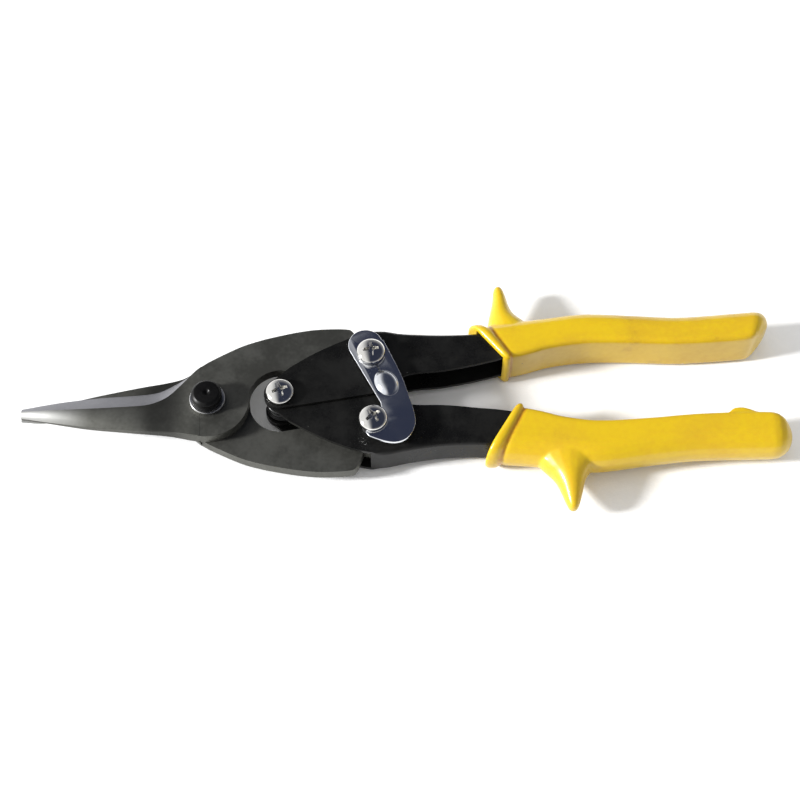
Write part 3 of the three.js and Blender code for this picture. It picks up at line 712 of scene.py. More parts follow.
# The forged finish paints a highlight on the tip's upper faces and paints shade across the throat.
FORGED = Steel("forged_blade", "blade", tip_highlight=0.9, throat_shade=0.75)
GROUND = Steel("ground_bevel", "blade", dark=(0.27, 0.27, 0.29, 1), light=(0.34, 0.34, 0.36, 1),
               worn=(0.65, 0.65, 0.65, 1), wear=0.4, smooth=0.42, rough=0.5, grain=0.01)
WIRE = Steel("spring_wire", "spring_steel", dark=(0.03, 0.03, 0.03, 1),
             light=(0.07, 0.07, 0.07, 1), worn=(0.2, 0.2, 0.2, 1), smooth=0.3, rough=0.42,
             grain=0.004)
CHROME = Plated("chrome_plate", "chrome")
LATCH_CHROME = Plated("latch_chrome", "chrome", colour=(0.8, 0.82, 0.86, 1),
                      shade=(0.6, 0.62, 0.67, 1), smooth=0.1, rough=0.2, marks=0.3)
ZINC = Plated("bright_zinc", "zinc", colour=(0.6, 0.6, 0.6, 1), shade=(0.45, 0.45, 0.44, 1),
              smooth=0.18, rough=0.34, marks=0.3)
BLACK_OXIDE = Enamel("black_oxide", "black_bolt", colour=(0.002, 0.002, 0.002, 1),
                     dusty=(0.005, 0.005, 0.005, 1), smooth=0.3, rough=0.42)
ENAMEL = Enamel("black_enamel", "black_handle")


class Body(Enum):
    """The rigid bodies that pieces ride on."""

    LOWER = "lower_handle"
    UPPER = "upper_handle"
    BACK = "blade_back"
    FRONT = "blade_front"
    LATCH = "latch"


def fit(piece: bpy.types.Object, finish: Finish, body: Body, *nodes: str) -> None:
    """Dresses a piece, sets the body it rides on and the CAD nodes it stands for.

    Args:
        piece: the finished piece.
        finish: its main finish.
        body: the body it rides on.
        nodes: the CAD nodes that it replaces.
    """
    if not piece.data.materials:
        piece.data.materials.append(finish.material())
    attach(piece, body.value)
    if nodes:
        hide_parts(*nodes)
    log.info("%s rides on %s", piece.name, body.value)


# ---------------------------------------------------------------- blades
@dataclass
class Blade:
    """One forged blade: eye, tail and bevelled jaw, as the front one lies."""

    name: str
    node: str
    body: Body
    edge: list[Flat]
    bevel: list[Flat]
    back: list[Flat]
    turned_over: bool = False
    jaw_length: float = 60.3
    eye_radius: float = 13.3
    tail_radius: float = 6.6
    bore_radius: float = 3.1
    main_bore: float = 3.1
    tail_edge: list[Flat] = field(default_factory=lambda: [
        (0.921, 8.4), (0.893, 11.6), (0.85, 12.8), (0.69, 13.0), (0.565, 12.3), (0.44, 11.0),
        (0.318, 9.4), (0.194, 7.1)])

    def line(self, points: Sequence[Flat]) -> list[Flat]:
        """Jaw points at their real place, from shares of the jaw length."""
        return [(-share * self.jaw_length, y) for share, y in points]

    def plan(self, tail: Flat) -> list[Flat]:
        """Plan outline of the eye and the tail.

        Args:
            tail: tail pivot, on the +Y side.

        Returns:
            The outline.
        """
        pivot = middle("handle_pivot_screw")
        reach = 0.05 * self.jaw_length
        bevel = self.line(self.bevel)
        start = math.degrees(math.acos(-reach / self.eye_radius))
        edge = [(share * tail[0], tail[1] + y) for share, y in self.tail_edge]
        return [
            *arc((0, 0), self.eye_radius, -start, 0),
            *arc(pivot, pivot[0] - self.eye_radius, 180, 90)[1:],
            *arc(tail, self.tail_radius, -102, 118),
            *smooth_run([*edge, (reach, height_at(bevel, reach))], 44),
            (0, height_at(bevel, 0)),
            (-reach, height_at(bevel, -reach)),
        ]

    def jaw(self, low: float) -> bpy.types.Object:
        """Jaw skinned over lines that run from the throat to the tip.

        Args:
            low: level of the flat cutting side.

        Returns:
            The closed jaw.
        """
        edge, bevel, back = self.line(self.edge), self.line(self.bevel), self.line(self.back)
        wall = self.line([(1, 0.9), (0.78, 1.4), (0.56, 2.1), (0.35, 2.5), (0.2, 3.0),
                          (0.08, 4.0), (0, 4.0)])
        crest = self.line([(1, 1.6), (0.92, 2.3), (0.8, 3.05), (0.66, 3.6), (0.5, 3.8),
                           (0.34, 3.55), (0.22, 3.35), (0.14, 3.6), (0.07, 4.0), (0, 4.0)])
        count = 36
        rings = []
        for i in range(count + 1):
            x = -self.jaw_length * (1 - 0.96 * (i / count) ** 0.92)
            top, side = height_at(crest, x), height_at(wall, x)
            sharp, brow, rear = (height_at(line, x) for line in (edge, bevel, back))
            brow = min(brow, sharp - 0.3)
            rings.append([
                (x, sharp, low),
                (x, sharp, low + 0.25),
                *((x, brow + (rear - brow) * t, low + top - (top - side) * fall)
                  for t, fall in ((0, 0.05), (0.14, 0), (0.3, 0.04), (0.46, 0.15), (0.62, 0.33),
                                  (0.78, 0.6))),
                (x, rear + 0.22, low + side),
                (x, rear, low + side - 0.22),
                (x, rear, low),
            ])
        return Bench.skin(self.name + "_jaw", rings)

    def make(self) -> None:
        """Builds the blade, bores it, grinds its bevel and dresses it."""
        low, high = span(self.node)
        tail = middle("upper_tail_screw")
        piece = Bench.slab(self.name, self.plan(tail), low, high)
        Bench.combine(piece, self.jaw(low), "UNION")
        Bench.bore(piece, (0, 0), self.main_bore, low, high)
        Bench.bore(piece, tail, self.bore_radius, low, high)
        Bench.soften(piece, 0.22, 2, 34)
        self.grind(piece, low)
        if self.turned_over:
            self.turn_over(piece, (low + high) / 2)
        fit(piece, FORGED, self.body, self.node)

    def grind(self, piece: bpy.types.Object, base: float) -> None:
        """Gives the cutting bevel its ground finish, picked by place and slope."""
        piece.data.materials.append(FORGED.material())
        piece.data.materials.append(GROUND.material())
        edge, bevel = self.line(self.edge), self.line(self.bevel)
        for face in piece.data.polygons:
            x, y, z = (c / MM for c in face.center)
            on_jaw = x < 0 and z > base + 0.1 and y > height_at(bevel, x) - 0.15
            inside = y < height_at(edge, x) + 0.3
            if on_jaw and inside and face.normal.z > 0.3:
                face.material_index = 1

    def turn_over(self, piece: bpy.types.Object, level: float) -> None:
        """Turns the blade over about the X axis at a level."""
        Bench.edit(piece)
        bpy.ops.mesh.select_all(action="SELECT")
        bpy.ops.transform.resize(value=(1, -1, -1), center_override=(0, 0, level * MM))
        bpy.ops.mesh.normals_make_consistent(inside=False)
        Bench.rest()


def blades() -> None:
    """Builds the two blades."""
    throat = [(0.05, 13.0), (-0.05, 15.6)]
    eye = [(0.05, -12.96), (-0.05, -12.96)]
    Blade("front_blade", "blade_front", Body.FRONT,
          edge=[(1, 0.6), (0.8, 2.6), (0.585, 3.9), (0.37, 4.5), (0.264, 5.4), (0.17, 8.4),
                *throat],
          bevel=[(1, -0.9), (0.84, -1.3), (0.625, -1.6), (0.413, -1.3), (0.307, -0.6),
                 (0.217, 1.9), (0.15, 5.7), (0.05, 11.9), (-0.05, 15.6)],
          back=[(1, -3), (0.846, -4.9), (0.63, -7.5), (0.416, -9.2), (0.202, -10.9), *eye],
          main_bore=3.3).make()
    Blade("back_blade", "blade_back", Body.BACK,
          edge=[(1, 3.8), (0.9, 4.5), (0.8, 4.3), (0.585, 4.5), (0.37, 5.2), (0.264, 5.9),
                (0.17, 8.4), *throat],
          bevel=[(1, 1.6), (0.84, 0.4), (0.625, -0.6), (0.413, -0.6), (0.307, 0), (0.217, 2),
                 (0.15, 5.7), (0.05, 11.9), (-0.05, 15.6)],
          back=[(1, -0.4), (0.8, -2.1), (0.585, -5), (0.373, -7.5), (0.158, -9.9), *eye],
          turned_over=True).make()


# ---------------------------------------------------------------- handles
@dataclass
class Handle:
    """One handle: a folded sheet channel with a dipped vinyl grip."""

    side: int
    body: Body
    channel_node: str
    grip_node: str
    tail_node: str
    collar_x: float
    grip_length: float
    shank_inner: list[Flat]
    shank_outer: list[Flat]
    grip_inner: list[Flat]
    grip_outer: list[Flat]
    end_lean: float
    horn: list[tuple[float, float, float, float]]
    lug: bool = False
    sheet: float = 1.3
    fold: float = 2.0
    tip_radius: float = 5.2
    web_start: float = 52.0
    grip_wall: float = 2.0
    grip_back: float = 4.4
    grip_cover: float = 1.2
    pocket_play: float = 0.3
    bead_rise: float = 0.9
    bead_width: float = 3.4
    slant: float = 4.8
    end_rounding: float = 6.4
    bore_radius: float = 3.08
    plate_outer: list[Flat] = field(default_factory=lambda: [
        (26.7, 9.6), (35, 14.7), (46.5, 20)])

    def grip_line(self, points: Sequence[Flat]) -> list[Flat]:
        """Grip edge at its real place, from shares of the grip length."""
        return [(self.collar_x + share * self.grip_length, y) for share, y in points]

    def edges(self) -> tuple[list[Flat], list[Flat], float]:
        """The channel's inner and outer edges and the X where it ends."""
        core = [self.collar_x + share * self.grip_length for share in (0.16, 0.33, 0.5, 0.66, 0.85)]
        inner, outer = self.grip_line(self.grip_inner), self.grip_line(self.grip_outer)
        return (
            [*self.shank_inner, *((x, height_at(inner, x) + self.grip_wall) for x in core)],
            [*self.plate_outer, *self.shank_outer,
             *((x, height_at(outer, x) - self.grip_back) for x in core)],
            core[-1],
        )

    def band(self, start: float, stop: float, grow: float) -> list[Flat]:
        """Outline between the channel's edges from one X to another, grown by a margin."""
        inner, outer, _ = self.edges()
        xs = [start + (stop - start) * i / 48 for i in range(49)]
        return [*((x, height_at(inner, x) - grow) for x in xs),
                *((x, height_at(outer, x) + grow) for x in reversed(xs))]

    def channel(self) -> None:
        """Builds the folded channel: a solid with rounded folds, hollowed from its inner side."""
        inner, outer, end = self.edges()
        low, high = span(self.channel_node)
        pivot = middle("handle_pivot_screw")
        front, start = outer[0][0], inner[0][0]
        outline = [
            *arc(pivot, self.tip_radius, 122, 278),
            (middle(self.tail_node)[0], -1),
            *((x, height_at(inner, x))
              for x in (start + (end - start) * i / 50 for i in range(51))),
            *((x, height_at(outer, x)) for x in (end + (front - end) * i / 70 for i in range(71))),
        ]
        piece = Bench.slab(self.channel_node + "_sheet", mirrored(outline, self.side), low, high)
        self.round_fold(piece, outer, 0.0, self.fold, self.web_start)
        clear = 30.0
        xs = [self.web_start + (end + 4 - self.web_start) * i / 60 for i in range(61)]
        hollow = [(pivot[0] - clear, clear), (self.web_start, clear),
                  *((x, height_at(outer, x) - self.sheet) for x in xs),
                  (end + 4, -clear), (pivot[0] - clear, -clear)]
        tool = Bench.slab("hollow", mirrored(hollow, self.side), low + self.sheet,
                          high - self.sheet)
        self.round_fold(tool, outer, -self.sheet, self.fold - self.sheet, self.web_start)
        Bench.combine(piece, tool, "DIFFERENCE")
        for centre in (pivot, middle(self.tail_node)):
            Bench.bore(piece, centre, self.bore_radius, low, high)
        Bench.soften(piece, 0.16, 2, 40)
        fit(piece, ENAMEL, self.body, self.channel_node)

    def round_fold(self, piece: bpy.types.Object, outer: list[Flat], offset: float,
                   radius: float, start: float) -> None:
        """Rounds the two long edges along the outer side, behind the web's front end.

        Args:
            piece: the solid to round.
            outer: outer edge of the channel.
            offset: how far the edges lie from that line.
            radius: fold radius.
            start: X where the web begins.
        """
        def on_fold(edge: bmesh.types.BMEdge) -> bool:
            """Whether an edge runs along a fold."""
            a, b = (v.co / MM for v in edge.verts)
            level = abs(a.z - b.z) < 0.01
            return level and all(
                p.x > start - 0.05 and abs(p.y * self.side - height_at(outer, p.x) - offset) < 0.05
                for p in (a, b))
        Bench.edit(piece)
        if Bench.pick(piece, "edges", on_fold):
            bpy.ops.mesh.bevel(offset=radius * MM, segments=6, affect="EDGES")
        Bench.rest()

    def section(self, inner: Flat, outer: Flat, low: float, high: float) -> list[Point]:
        """D-shaped ring between an inner and an outer plan point.

        Args:
            inner: plan point of the flat side.
            outer: plan point of the rounded back.
            low: lowest level.
            high: highest level.

        Returns:
            The ring's points.
        """
        centre, half = (low + high) / 2, (high - low) / 2
        width = math.dist(inner, outer)
        corner = min(1.7, half * 0.4)
        back = min(6.5, width * 0.55)
        flat = [
            *arc((corner, -half + corner), corner, 180, 270, 22.5),
            (corner + (width - back - corner) / 2, -half),
            *((width - back + back * math.cos(a), half * math.sin(a))
              for a in (math.radians(d) for d in range(-90, 91, 18))),
            (corner + (width - back - corner) / 2, half),
            *arc((corner, half - corner), corner, 90, 180, 22.5),
        ]
        unit = ((outer[0] - inner[0]) / width, (outer[1] - inner[1]) / width)
        return [(inner[0] + unit[0] * v, self.side * (inner[1] + unit[1] * v), centre + w)
                for v, w in flat]

    def stations(self) -> list[tuple[float, float]]:
        """Places along the grip and how far the surface stands out there: bead, groove, end."""
        bead = [(-0.54, -0.35), (-0.5, 0.2), (-0.4, 0.68), (-0.2, 0.93), (0, 1.0), (0.2, 0.93),
                (0.38, 0.62), (0.5, 0.1), (0.6, -0.3), (0.72, -0.25), (0.95, 0.0)]
        rings = [(along * self.bead_width, rise * self.bead_rise) for along, rise in bead]
        last = rings[-1][0]
        straight = self.grip_length - self.end_rounding
        rings += [(last + (straight - last) * i / 26, 0.0) for i in range(1, 27)]
        for angle in (18, 36, 52, 66, 78, 86):
            a = math.radians(angle)
            rings.append((self.grip_length - self.end_rounding * (1 - math.sin(a)),
                          self.end_rounding * (math.cos(a) - 1)))
        return rings

    def grip(self) -> None:
        """Builds the grip: D-shaped body with bead, horn and pocket, as one dipped skin."""
        inner, outer = self.grip_line(self.grip_inner), self.grip_line(self.grip_outer)
        low, high = span(self.grip_node)
        low, high = low + self.bead_rise, high - self.bead_rise
        rings = []
        for along, rise in self.stations():
            share = along / self.grip_length
            slant = self.slant * max(0.0, 1 - share / 0.2)
            lean = self.end_lean * smoothstep(share, 0.85, 1)
            x = self.collar_x + along
            bottom, top = height_at(inner, x), height_at(outer, x)
            ends = []
            for y in (bottom - rise, top + rise):
                depth = (top - y) / (top - bottom)
                ends.append((x - slant + (2 * slant - lean) * depth, y))
            rings.append(self.section(*ends, low - rise, high + rise))
        piece = Bench.skin(self.grip_node + "_vinyl", rings)
        Bench.combine(piece, self.horn_solid((low + high) / 2), "UNION")
        if self.lug:
            Bench.combine(piece, self.lug_solid(high), "UNION")
        Bench.modify(piece, "REMESH", mode="VOXEL", voxel_size=0.42 * MM, use_smooth_shade=True)
        Bench.modify(piece, "SMOOTH", factor=0.5, iterations=8)
        pocket_end = self.edges()[2] + self.pocket_play
        channel_low, channel_high = span(self.channel_node)
        band = self.band(self.collar_x - 15, pocket_end, self.pocket_play)
        tool = Bench.slab("pocket", mirrored(band, self.side), channel_low - self.pocket_play,
                          channel_high + self.pocket_play)
        Bench.combine(piece, tool, "DIFFERENCE")
        Bench.shade(piece, 50)
        turn = self.side * math.atan2(2 * self.slant, 17.5)
        y = self.side * (inner[0][1] + outer[0][1]) / 2
        finish = Vinyl(self.grip_node + "_dip", "vinyl", bead_at=(self.collar_x, y),
                       bead_turn=-turn)
        fit(piece, finish, self.body, self.grip_node)

    def horn_solid(self, centre: float) -> bpy.types.Object:
        """Horn skinned over oval rings from inside the grip to its tip.

        Args:
            centre: level of its middle.

        Returns:
            The closed horn.
        """
        rings = []
        for y, left, right, depth in self.horn:
            a, mid = (right - left) / 2, (right + left) / 2
            rings.append([
                (self.collar_x + mid + a * math.cos(t), self.side * y,
                 centre + depth / 2 * math.copysign(abs(math.sin(t)) ** 0.85, math.sin(t)))
                for t in (math.tau * k / 20 for k in range(20))
            ])
        return Bench.skin("horn", rings)

    def lug_solid(self, near: float) -> bpy.types.Object:
        """Small rounded lug on the grip's inner side, below its near face."""
        points = [(70.6, 13), (72.8, 10), (76, 9.3), (80.1, 10.8), (83.1, 13)]
        outline = smooth_run([(self.collar_x + x, y) for x, y in points], 20)
        piece = Bench.slab("lug", mirrored(outline, self.side), near - 8, near - 0.7)
        Bench.soften(piece, 0.8, 3, 50)
        return piece

    def make(self) -> None:
        """Builds the channel and the grip."""
        self.channel()
        self.grip()


def handles() -> None:
    """Builds the two handles."""
    Handle(
        side=1, body=Body.UPPER, channel_node="upper_handle_channel", grip_node="upper_grip",
        tail_node="upper_tail_screw", collar_x=92.4, grip_length=94.3,
        shank_inner=[(60, 3.9), (66, 6.1), (76, 6.9), (86, 8.6), (96, 11)],
        shank_outer=[(55.6, 23), (63, 21.8), (69.5, 21.2), (76, 20.8), (88, 20.9)],
        grip_inner=[(0, 10.6), (0.1, 12), (0.2, 14), (0.32, 15.4), (0.45, 15.2), (0.66, 14.1),
                    (0.88, 14.9), (1, 15.8)],
        grip_outer=[(0, 24.6), (0.1, 26.4), (0.2, 27.7), (0.33, 28.9), (0.5, 27.8),
                    (0.66, 26.6), (0.85, 27.4), (1, 28.2)],
        end_lean=5.0,
        horn=[(20.0, -1.6, 18.0, 13.4), (24.5, -0.9, 15.0, 12.6), (27.0, -0.3, 12.0, 11.4),
              (28.6, 0.0, 10.2, 10.4), (30.4, 0.4, 8.6, 9.4), (32.4, 0.9, 7.6, 8.4),
              (34.8, 1.5, 6.9, 7.3), (37.3, 1.9, 6.4, 6.2), (39.4, 2.1, 5.9, 5.3),
              (40.9, 2.5, 5.4, 4.2), (41.75, 3.1, 4.8, 2.6)],
    ).make()
    Handle(
        side=-1, body=Body.LOWER, channel_node="lower_handle_channel", grip_node="lower_grip",
        tail_node="lower_tail_screw", collar_x=95.4, grip_length=91.95,
        shank_inner=[(60, 3), (66, 4.7), (76, 5.2), (86, 6.5), (96, 7.9)],
        shank_outer=[(55.6, 21.8), (63, 20.6), (69.5, 19.7), (76, 19.1), (88, 19.2)],
        grip_inner=[(0, 6.7), (0.1, 8.4), (0.2, 10.6), (0.32, 12.4), (0.5, 12.1), (0.66, 11.2),
                    (0.88, 11.1), (1, 11.8)],
        grip_outer=[(0, 23.2), (0.1, 24.4), (0.2, 26), (0.31, 27.4), (0.5, 25.6), (0.66, 24.4),
                    (0.85, 24.5), (1, 24.6)],
        end_lean=0.0,
        horn=[(15.0, 9.5, 33.5, 14.2), (19.0, 8.6, 32.4, 13.8), (22.5, 8.8, 30.8, 13.2),
              (25.0, 10.2, 28.8, 12.6), (27.2, 12.2, 26.8, 11.8), (29.0, 13.9, 25.4, 10.9),
              (31.0, 15.2, 24.4, 10.1),
              (33.2, 16.1, 23.8, 9.2), (35.8, 16.9, 23.1, 7.9), (38.1, 17.6, 22.4, 6.6),
              (40.0, 18.3, 21.7, 5.0), (41.1, 19.0, 20.9, 3.0)],
        lug=True,
    ).make()


# ---------------------------------------------------------------- screws, nuts and washers
@dataclass
class PanScrew:
    """Pan-head screw with a cross recess, turned about a vertical axis."""

    node: str
    body: Body
    turn: float
    radius: float = 4.6
    shank: float = 1.9
    arm: float = 2.9
    slot_width: float = 1.0
    depth: float = 1.7

    def make(self) -> None:
        """Builds the screw and cuts its recess."""
        centre = middle(self.node)
        low, top = span(self.node)
        seat = top - 3.1
        r = self.radius
        dome = [(r * math.sin(math.radians(a)), seat + 1.15 + 1.95 * math.cos(math.radians(a)))
                for a in range(84, 0, -7)]
        profile = [(0, low), (self.shank - 0.4, low), (self.shank, low + 0.4), (self.shank, seat),
                   (r - 0.25, seat), (r, seat + 0.3), (r, seat + 1.0), *dome, (0, top)]
        piece = Bench.turn(self.node + "_pan", profile, centre, 64)
        Bench.combine(piece, self.recess(centre, top), "DIFFERENCE")
        Bench.soften(piece, 0.06, 2, 40)
        fit(piece, CHROME, self.body, self.node)

    def recess(self, centre: Flat, top: float) -> bpy.types.Object:
        """Tapered cross that cuts the recess.

        Args:
            centre: plan place of the screw.
            top: level of the head's crown.

        Returns:
            The cutting tool.
        """
        w, a = self.slot_width / 2, self.arm
        cross = [(a, -w), (a, w), (w * 1.5, w * 1.5), (w, a), (-w, a), (-w * 1.5, w * 1.5),
                 (-a, w), (-a, -w), (-w * 1.5, -w * 1.5), (-w, -a), (w, -a), (w * 1.5, -w * 1.5)]
        c, s = math.cos(self.turn), math.sin(self.turn)
        rings = []
        for level, size in ((top + 1, 1.25), (top - self.depth, 0.5)):
            rings.append([(centre[0] + (x * c - y * s) * size, centre[1] + (x * s + y * c) * size,
                           level) for x, y in cross])
        return Bench.skin("recess", rings)


@dataclass
class Turned:
    """A plain turned piece: washer, spacer or collar with broken corners."""

    node: str
    body: Body
    finish: Finish
    inner: float
    chamfer: float = 0.15

    def make(self) -> None:
        """Builds the ring to the size of its CAD node."""
        low, high = span(self.node)
        box_low, box_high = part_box(self.node)
        outer = (box_high[0] - box_low[0]) / 2 / MM
        profile = collar(self.inner, outer, low, high, self.chamfer)
        piece = Bench.turn(self.node + "_ring", profile, middle(self.node), 56)
        Bench.shade(piece, 30)
        fit(piece, self.finish, self.body, self.node)


@dataclass
class BarrelNut:
    """Barrel nut: a slotted round head on the far side and a sleeve up to the screw head."""

    node: str
    body: Body
    head_radius: float = 4.9
    head: float = 1.75
    pin: float = 3.0
    bore: float = 2.0
    slot: float = 1.1

    def make(self) -> None:
        """Builds the nut and saws its slot."""
        centre = middle(self.node)
        low, high = span(self.node)
        top = low + self.head
        profile = [(0, low), (self.head_radius - 0.5, low), (self.head_radius - 0.1, low + 0.3),
                   (self.head_radius, low + 0.6), (self.head_radius, top), (self.pin, top),
                   (self.pin, high), (self.bore, high), (self.bore, low + 1.2), (0, low + 1.2)]
        piece = Bench.turn(self.node + "_nut", profile, centre, 56)
        r, w = self.head_radius + 1, self.slot / 2
        saw = [(centre[0] - r, centre[1] - w), (centre[0] + r, centre[1] - w),
               (centre[0] + r, centre[1] + w), (centre[0] - r, centre[1] + w)]
        Bench.combine(piece, Bench.slab("saw", saw, low - 1, low + 0.8), "DIFFERENCE")
        Bench.soften(piece, 0.08, 2, 40)
        fit(piece, ZINC, self.body, self.node)


@dataclass
class MainPivot:
    """Main pivot bolt with its chamfered black head, and the lock nut on the far side."""

    shank: float = 3.0
    head_radius: float = 4.9
    head: float = 3.9
    across_flats: float = 10.0

    def bolt(self) -> None:
        """Builds the bolt."""
        low, top = span("main_pivot_bolt")
        seat = top - self.head
        r = self.head_radius
        profile = [(0, low), (self.shank - 0.5, low), (self.shank, low + 0.5), (self.shank, seat),
                   (r, seat), (r, top - 1.1), (r - 0.12, top - 0.8), (r - 0.8, top - 0.12),
                   (r - 1.1, top), (1.3, top), (1.1, top - 0.1), (0.5, top - 0.75), (0, top - 0.8)]
        piece = Bench.turn("main_pivot_bolt_black", profile, (0, 0), 72)
        Bench.soften(piece, 0.06, 2, 60)
        fit(piece, BLACK_OXIDE, Body.BACK, "main_pivot_bolt")

    def nut(self) -> None:
        """Builds the hexagonal lock nut with its rounded collar downwards."""
        low, high = span("main_pivot_lock_nut")
        flats = self.across_flats
        corner = flats / math.sqrt(3)
        piece = Bench.slab("lock_nut_hex", arc((0, 0), corner, 0, 300, 60), low + 0.9, high)
        cone = [(0, low - 1), (flats / 2 - 0.3, low - 1), (flats / 2 - 0.3, low + 0.9),
                (corner + 0.4, low + 1.7), (corner + 0.4, high - 0.8),
                (flats / 2 - 0.2, high + 0.1),
                (0, high + 0.1)]
        Bench.combine(piece, Bench.turn("hex_chamfer", cone, (0, 0), 72), "INTERSECT")
        skirt = [(0, low), (flats / 2 - 1.0, low), (flats / 2 - 0.55, low + 0.25),
                 (flats / 2 - 0.4, low + 0.6), (flats / 2 - 0.4, low + 1.2), (0, low + 1.2)]
        Bench.combine(piece, Bench.turn("skirt", skirt, (0, 0), 72), "UNION")
        Bench.bore(piece, (0, 0), self.shank + 0.1, low, high)
        Bench.soften(piece, 0.07, 2, 40)
        fit(piece, ZINC, Body.BACK, "main_pivot_lock_nut")

    def make(self) -> None:
        """Builds the bolt and the nut."""
        self.bolt()
        self.nut()


def fasteners() -> None:
    """Builds the screws, barrel nuts, washers, spacers and collars."""
    MainPivot().make()
    for node, body, turn in (("handle_pivot_screw", Body.LOWER, 0.35),
                             ("upper_tail_screw", Body.UPPER, 0.12),
                             ("lower_tail_screw", Body.LOWER, 0.6)):
        PanScrew(node, body, turn).make()
    for node, body in (("handle_pivot_barrel", Body.LOWER), ("upper_tail_barrel", Body.UPPER),
                       ("lower_tail_barrel", Body.LOWER)):
        BarrelNut(node, body).make()
    pin = 3.1
    for node, body, finish, inner in (
        ("main_pivot_washer", Body.BACK, ZINC, pin),
        ("main_pivot_back_washer", Body.BACK, ZINC, pin),
        ("latch_catch_collar", Body.LOWER, ZINC, 2.0),
        ("upper_tail_spacer", Body.UPPER, ZINC, pin),
        ("upper_tail_washer", Body.UPPER, ZINC, pin),
        ("lower_tail_spacer", Body.LOWER, ZINC, pin),
        ("lower_tail_washer", Body.LOWER, ZINC, pin),
        ("latch_spring_washer", Body.UPPER, WIRE, pin),
    ):
        Turned(node, body, finish, inner).make()


# ---------------------------------------------------------------- latch
@dataclass
class Latch:
    """Stamped latch plate with a pressed thumb dimple and a hook for the catch screw."""

    sheet: float = 1.2
    neck: float = 2.15
    slope: float = 22.0
    bore_radius: float = 3.08
    dimple_half: Flat = (3.5, 4.7)
    dimple_rise: float = 1.5
    dimple_lean: float = 0.42

    def outline(self) -> list[Flat]:
        """Plan outline: eye over the upper tail pivot, hook round the catch screw."""
        tx, ty = middle("upper_tail_screw")
        cx, cy = middle("lower_tail_screw")
        wall = arc((cx, cy), self.neck, 20, self.slope - 90, 6)
        run = 3.1
        lip = (wall[-1][0] - run, wall[-1][1] - run * math.tan(math.radians(self.slope)))
        return [
            *arc((tx - 1.7, ty + 3.3), 5.6, 20, 202, 5),
            (cx + 2.5, cy + 6.2),
            (cx + 2.9, cy + 3.4),
            *wall,
            lip,
            (lip[0] - 0.2, lip[1] - 1.2),
            *smooth_run([(cx - 1.4, cy - 5.8), (cx + 3.4, cy - 7.7), (cx + 7.6, cy - 8.1),
                         (cx + 11.1, cy - 6.4), (cx + 13.2, cy - 2.6), (cx + 13.3, cy + 1.6),
                         (cx + 11.7, cy + 8.6), (tx + 9.1, ty - 7.1), (tx + 4.3, ty + 4.6)], 50),
        ]

    def dome(self, base: float, inset: float) -> bpy.types.Object:
        """Dimple: a turned dome with a flared foot, drawn out along the plate and turned.

        Args:
            base: level of the sheet's face that it rises from.
            inset: how much smaller than the outside it is.

        Returns:
            The closed dome.
        """
        a, b = (half - inset for half in self.dimple_half)
        rise = self.dimple_rise
        profile = [(0, -0.5), (1.06, -0.5), (1.06, 0.0), (1.0, 0.06 * rise), (0.94, 0.22 * rise),
                   (0.86, 0.45 * rise), (0.74, 0.68 * rise), (0.58, 0.85 * rise),
                   (0.4, 0.95 * rise), (0.2, 0.99 * rise), (0, rise)]
        tx, _ = middle("upper_tail_screw")
        centre = (tx + 4.7, 1.1)
        piece = Bench.turn("dome", [(r * a, base + z) for r, z in profile], centre, 56)
        Bench.edit(piece)
        bpy.ops.mesh.select_all(action="SELECT")
        pivot = Vector((*centre, base)) * MM
        bpy.ops.transform.resize(value=(1, b / a, 1), center_override=pivot)
        bpy.ops.transform.rotate(value=-self.dimple_lean, orient_axis="Z", center_override=pivot)
        Bench.rest()
        return piece

    def make(self) -> None:
        """Builds the plate, presses the dimple and bores the eye."""
        low = span("latch_plate")[0]
        high = low + self.sheet
        piece = Bench.slab("latch_plate_stamped", self.outline(), low, high)
        Bench.bore(piece, middle("upper_tail_screw"), self.bore_radius, low, high)
        Bench.soften(piece, 0.28, 3, 50)
        Bench.combine(piece, self.dome(high, 0.0), "UNION")
        Bench.combine(piece, self.dome(low, 0.9), "DIFFERENCE")
        Bench.shade(piece, 32)
        fit(piece, LATCH_CHROME, Body.LATCH, "latch_plate")


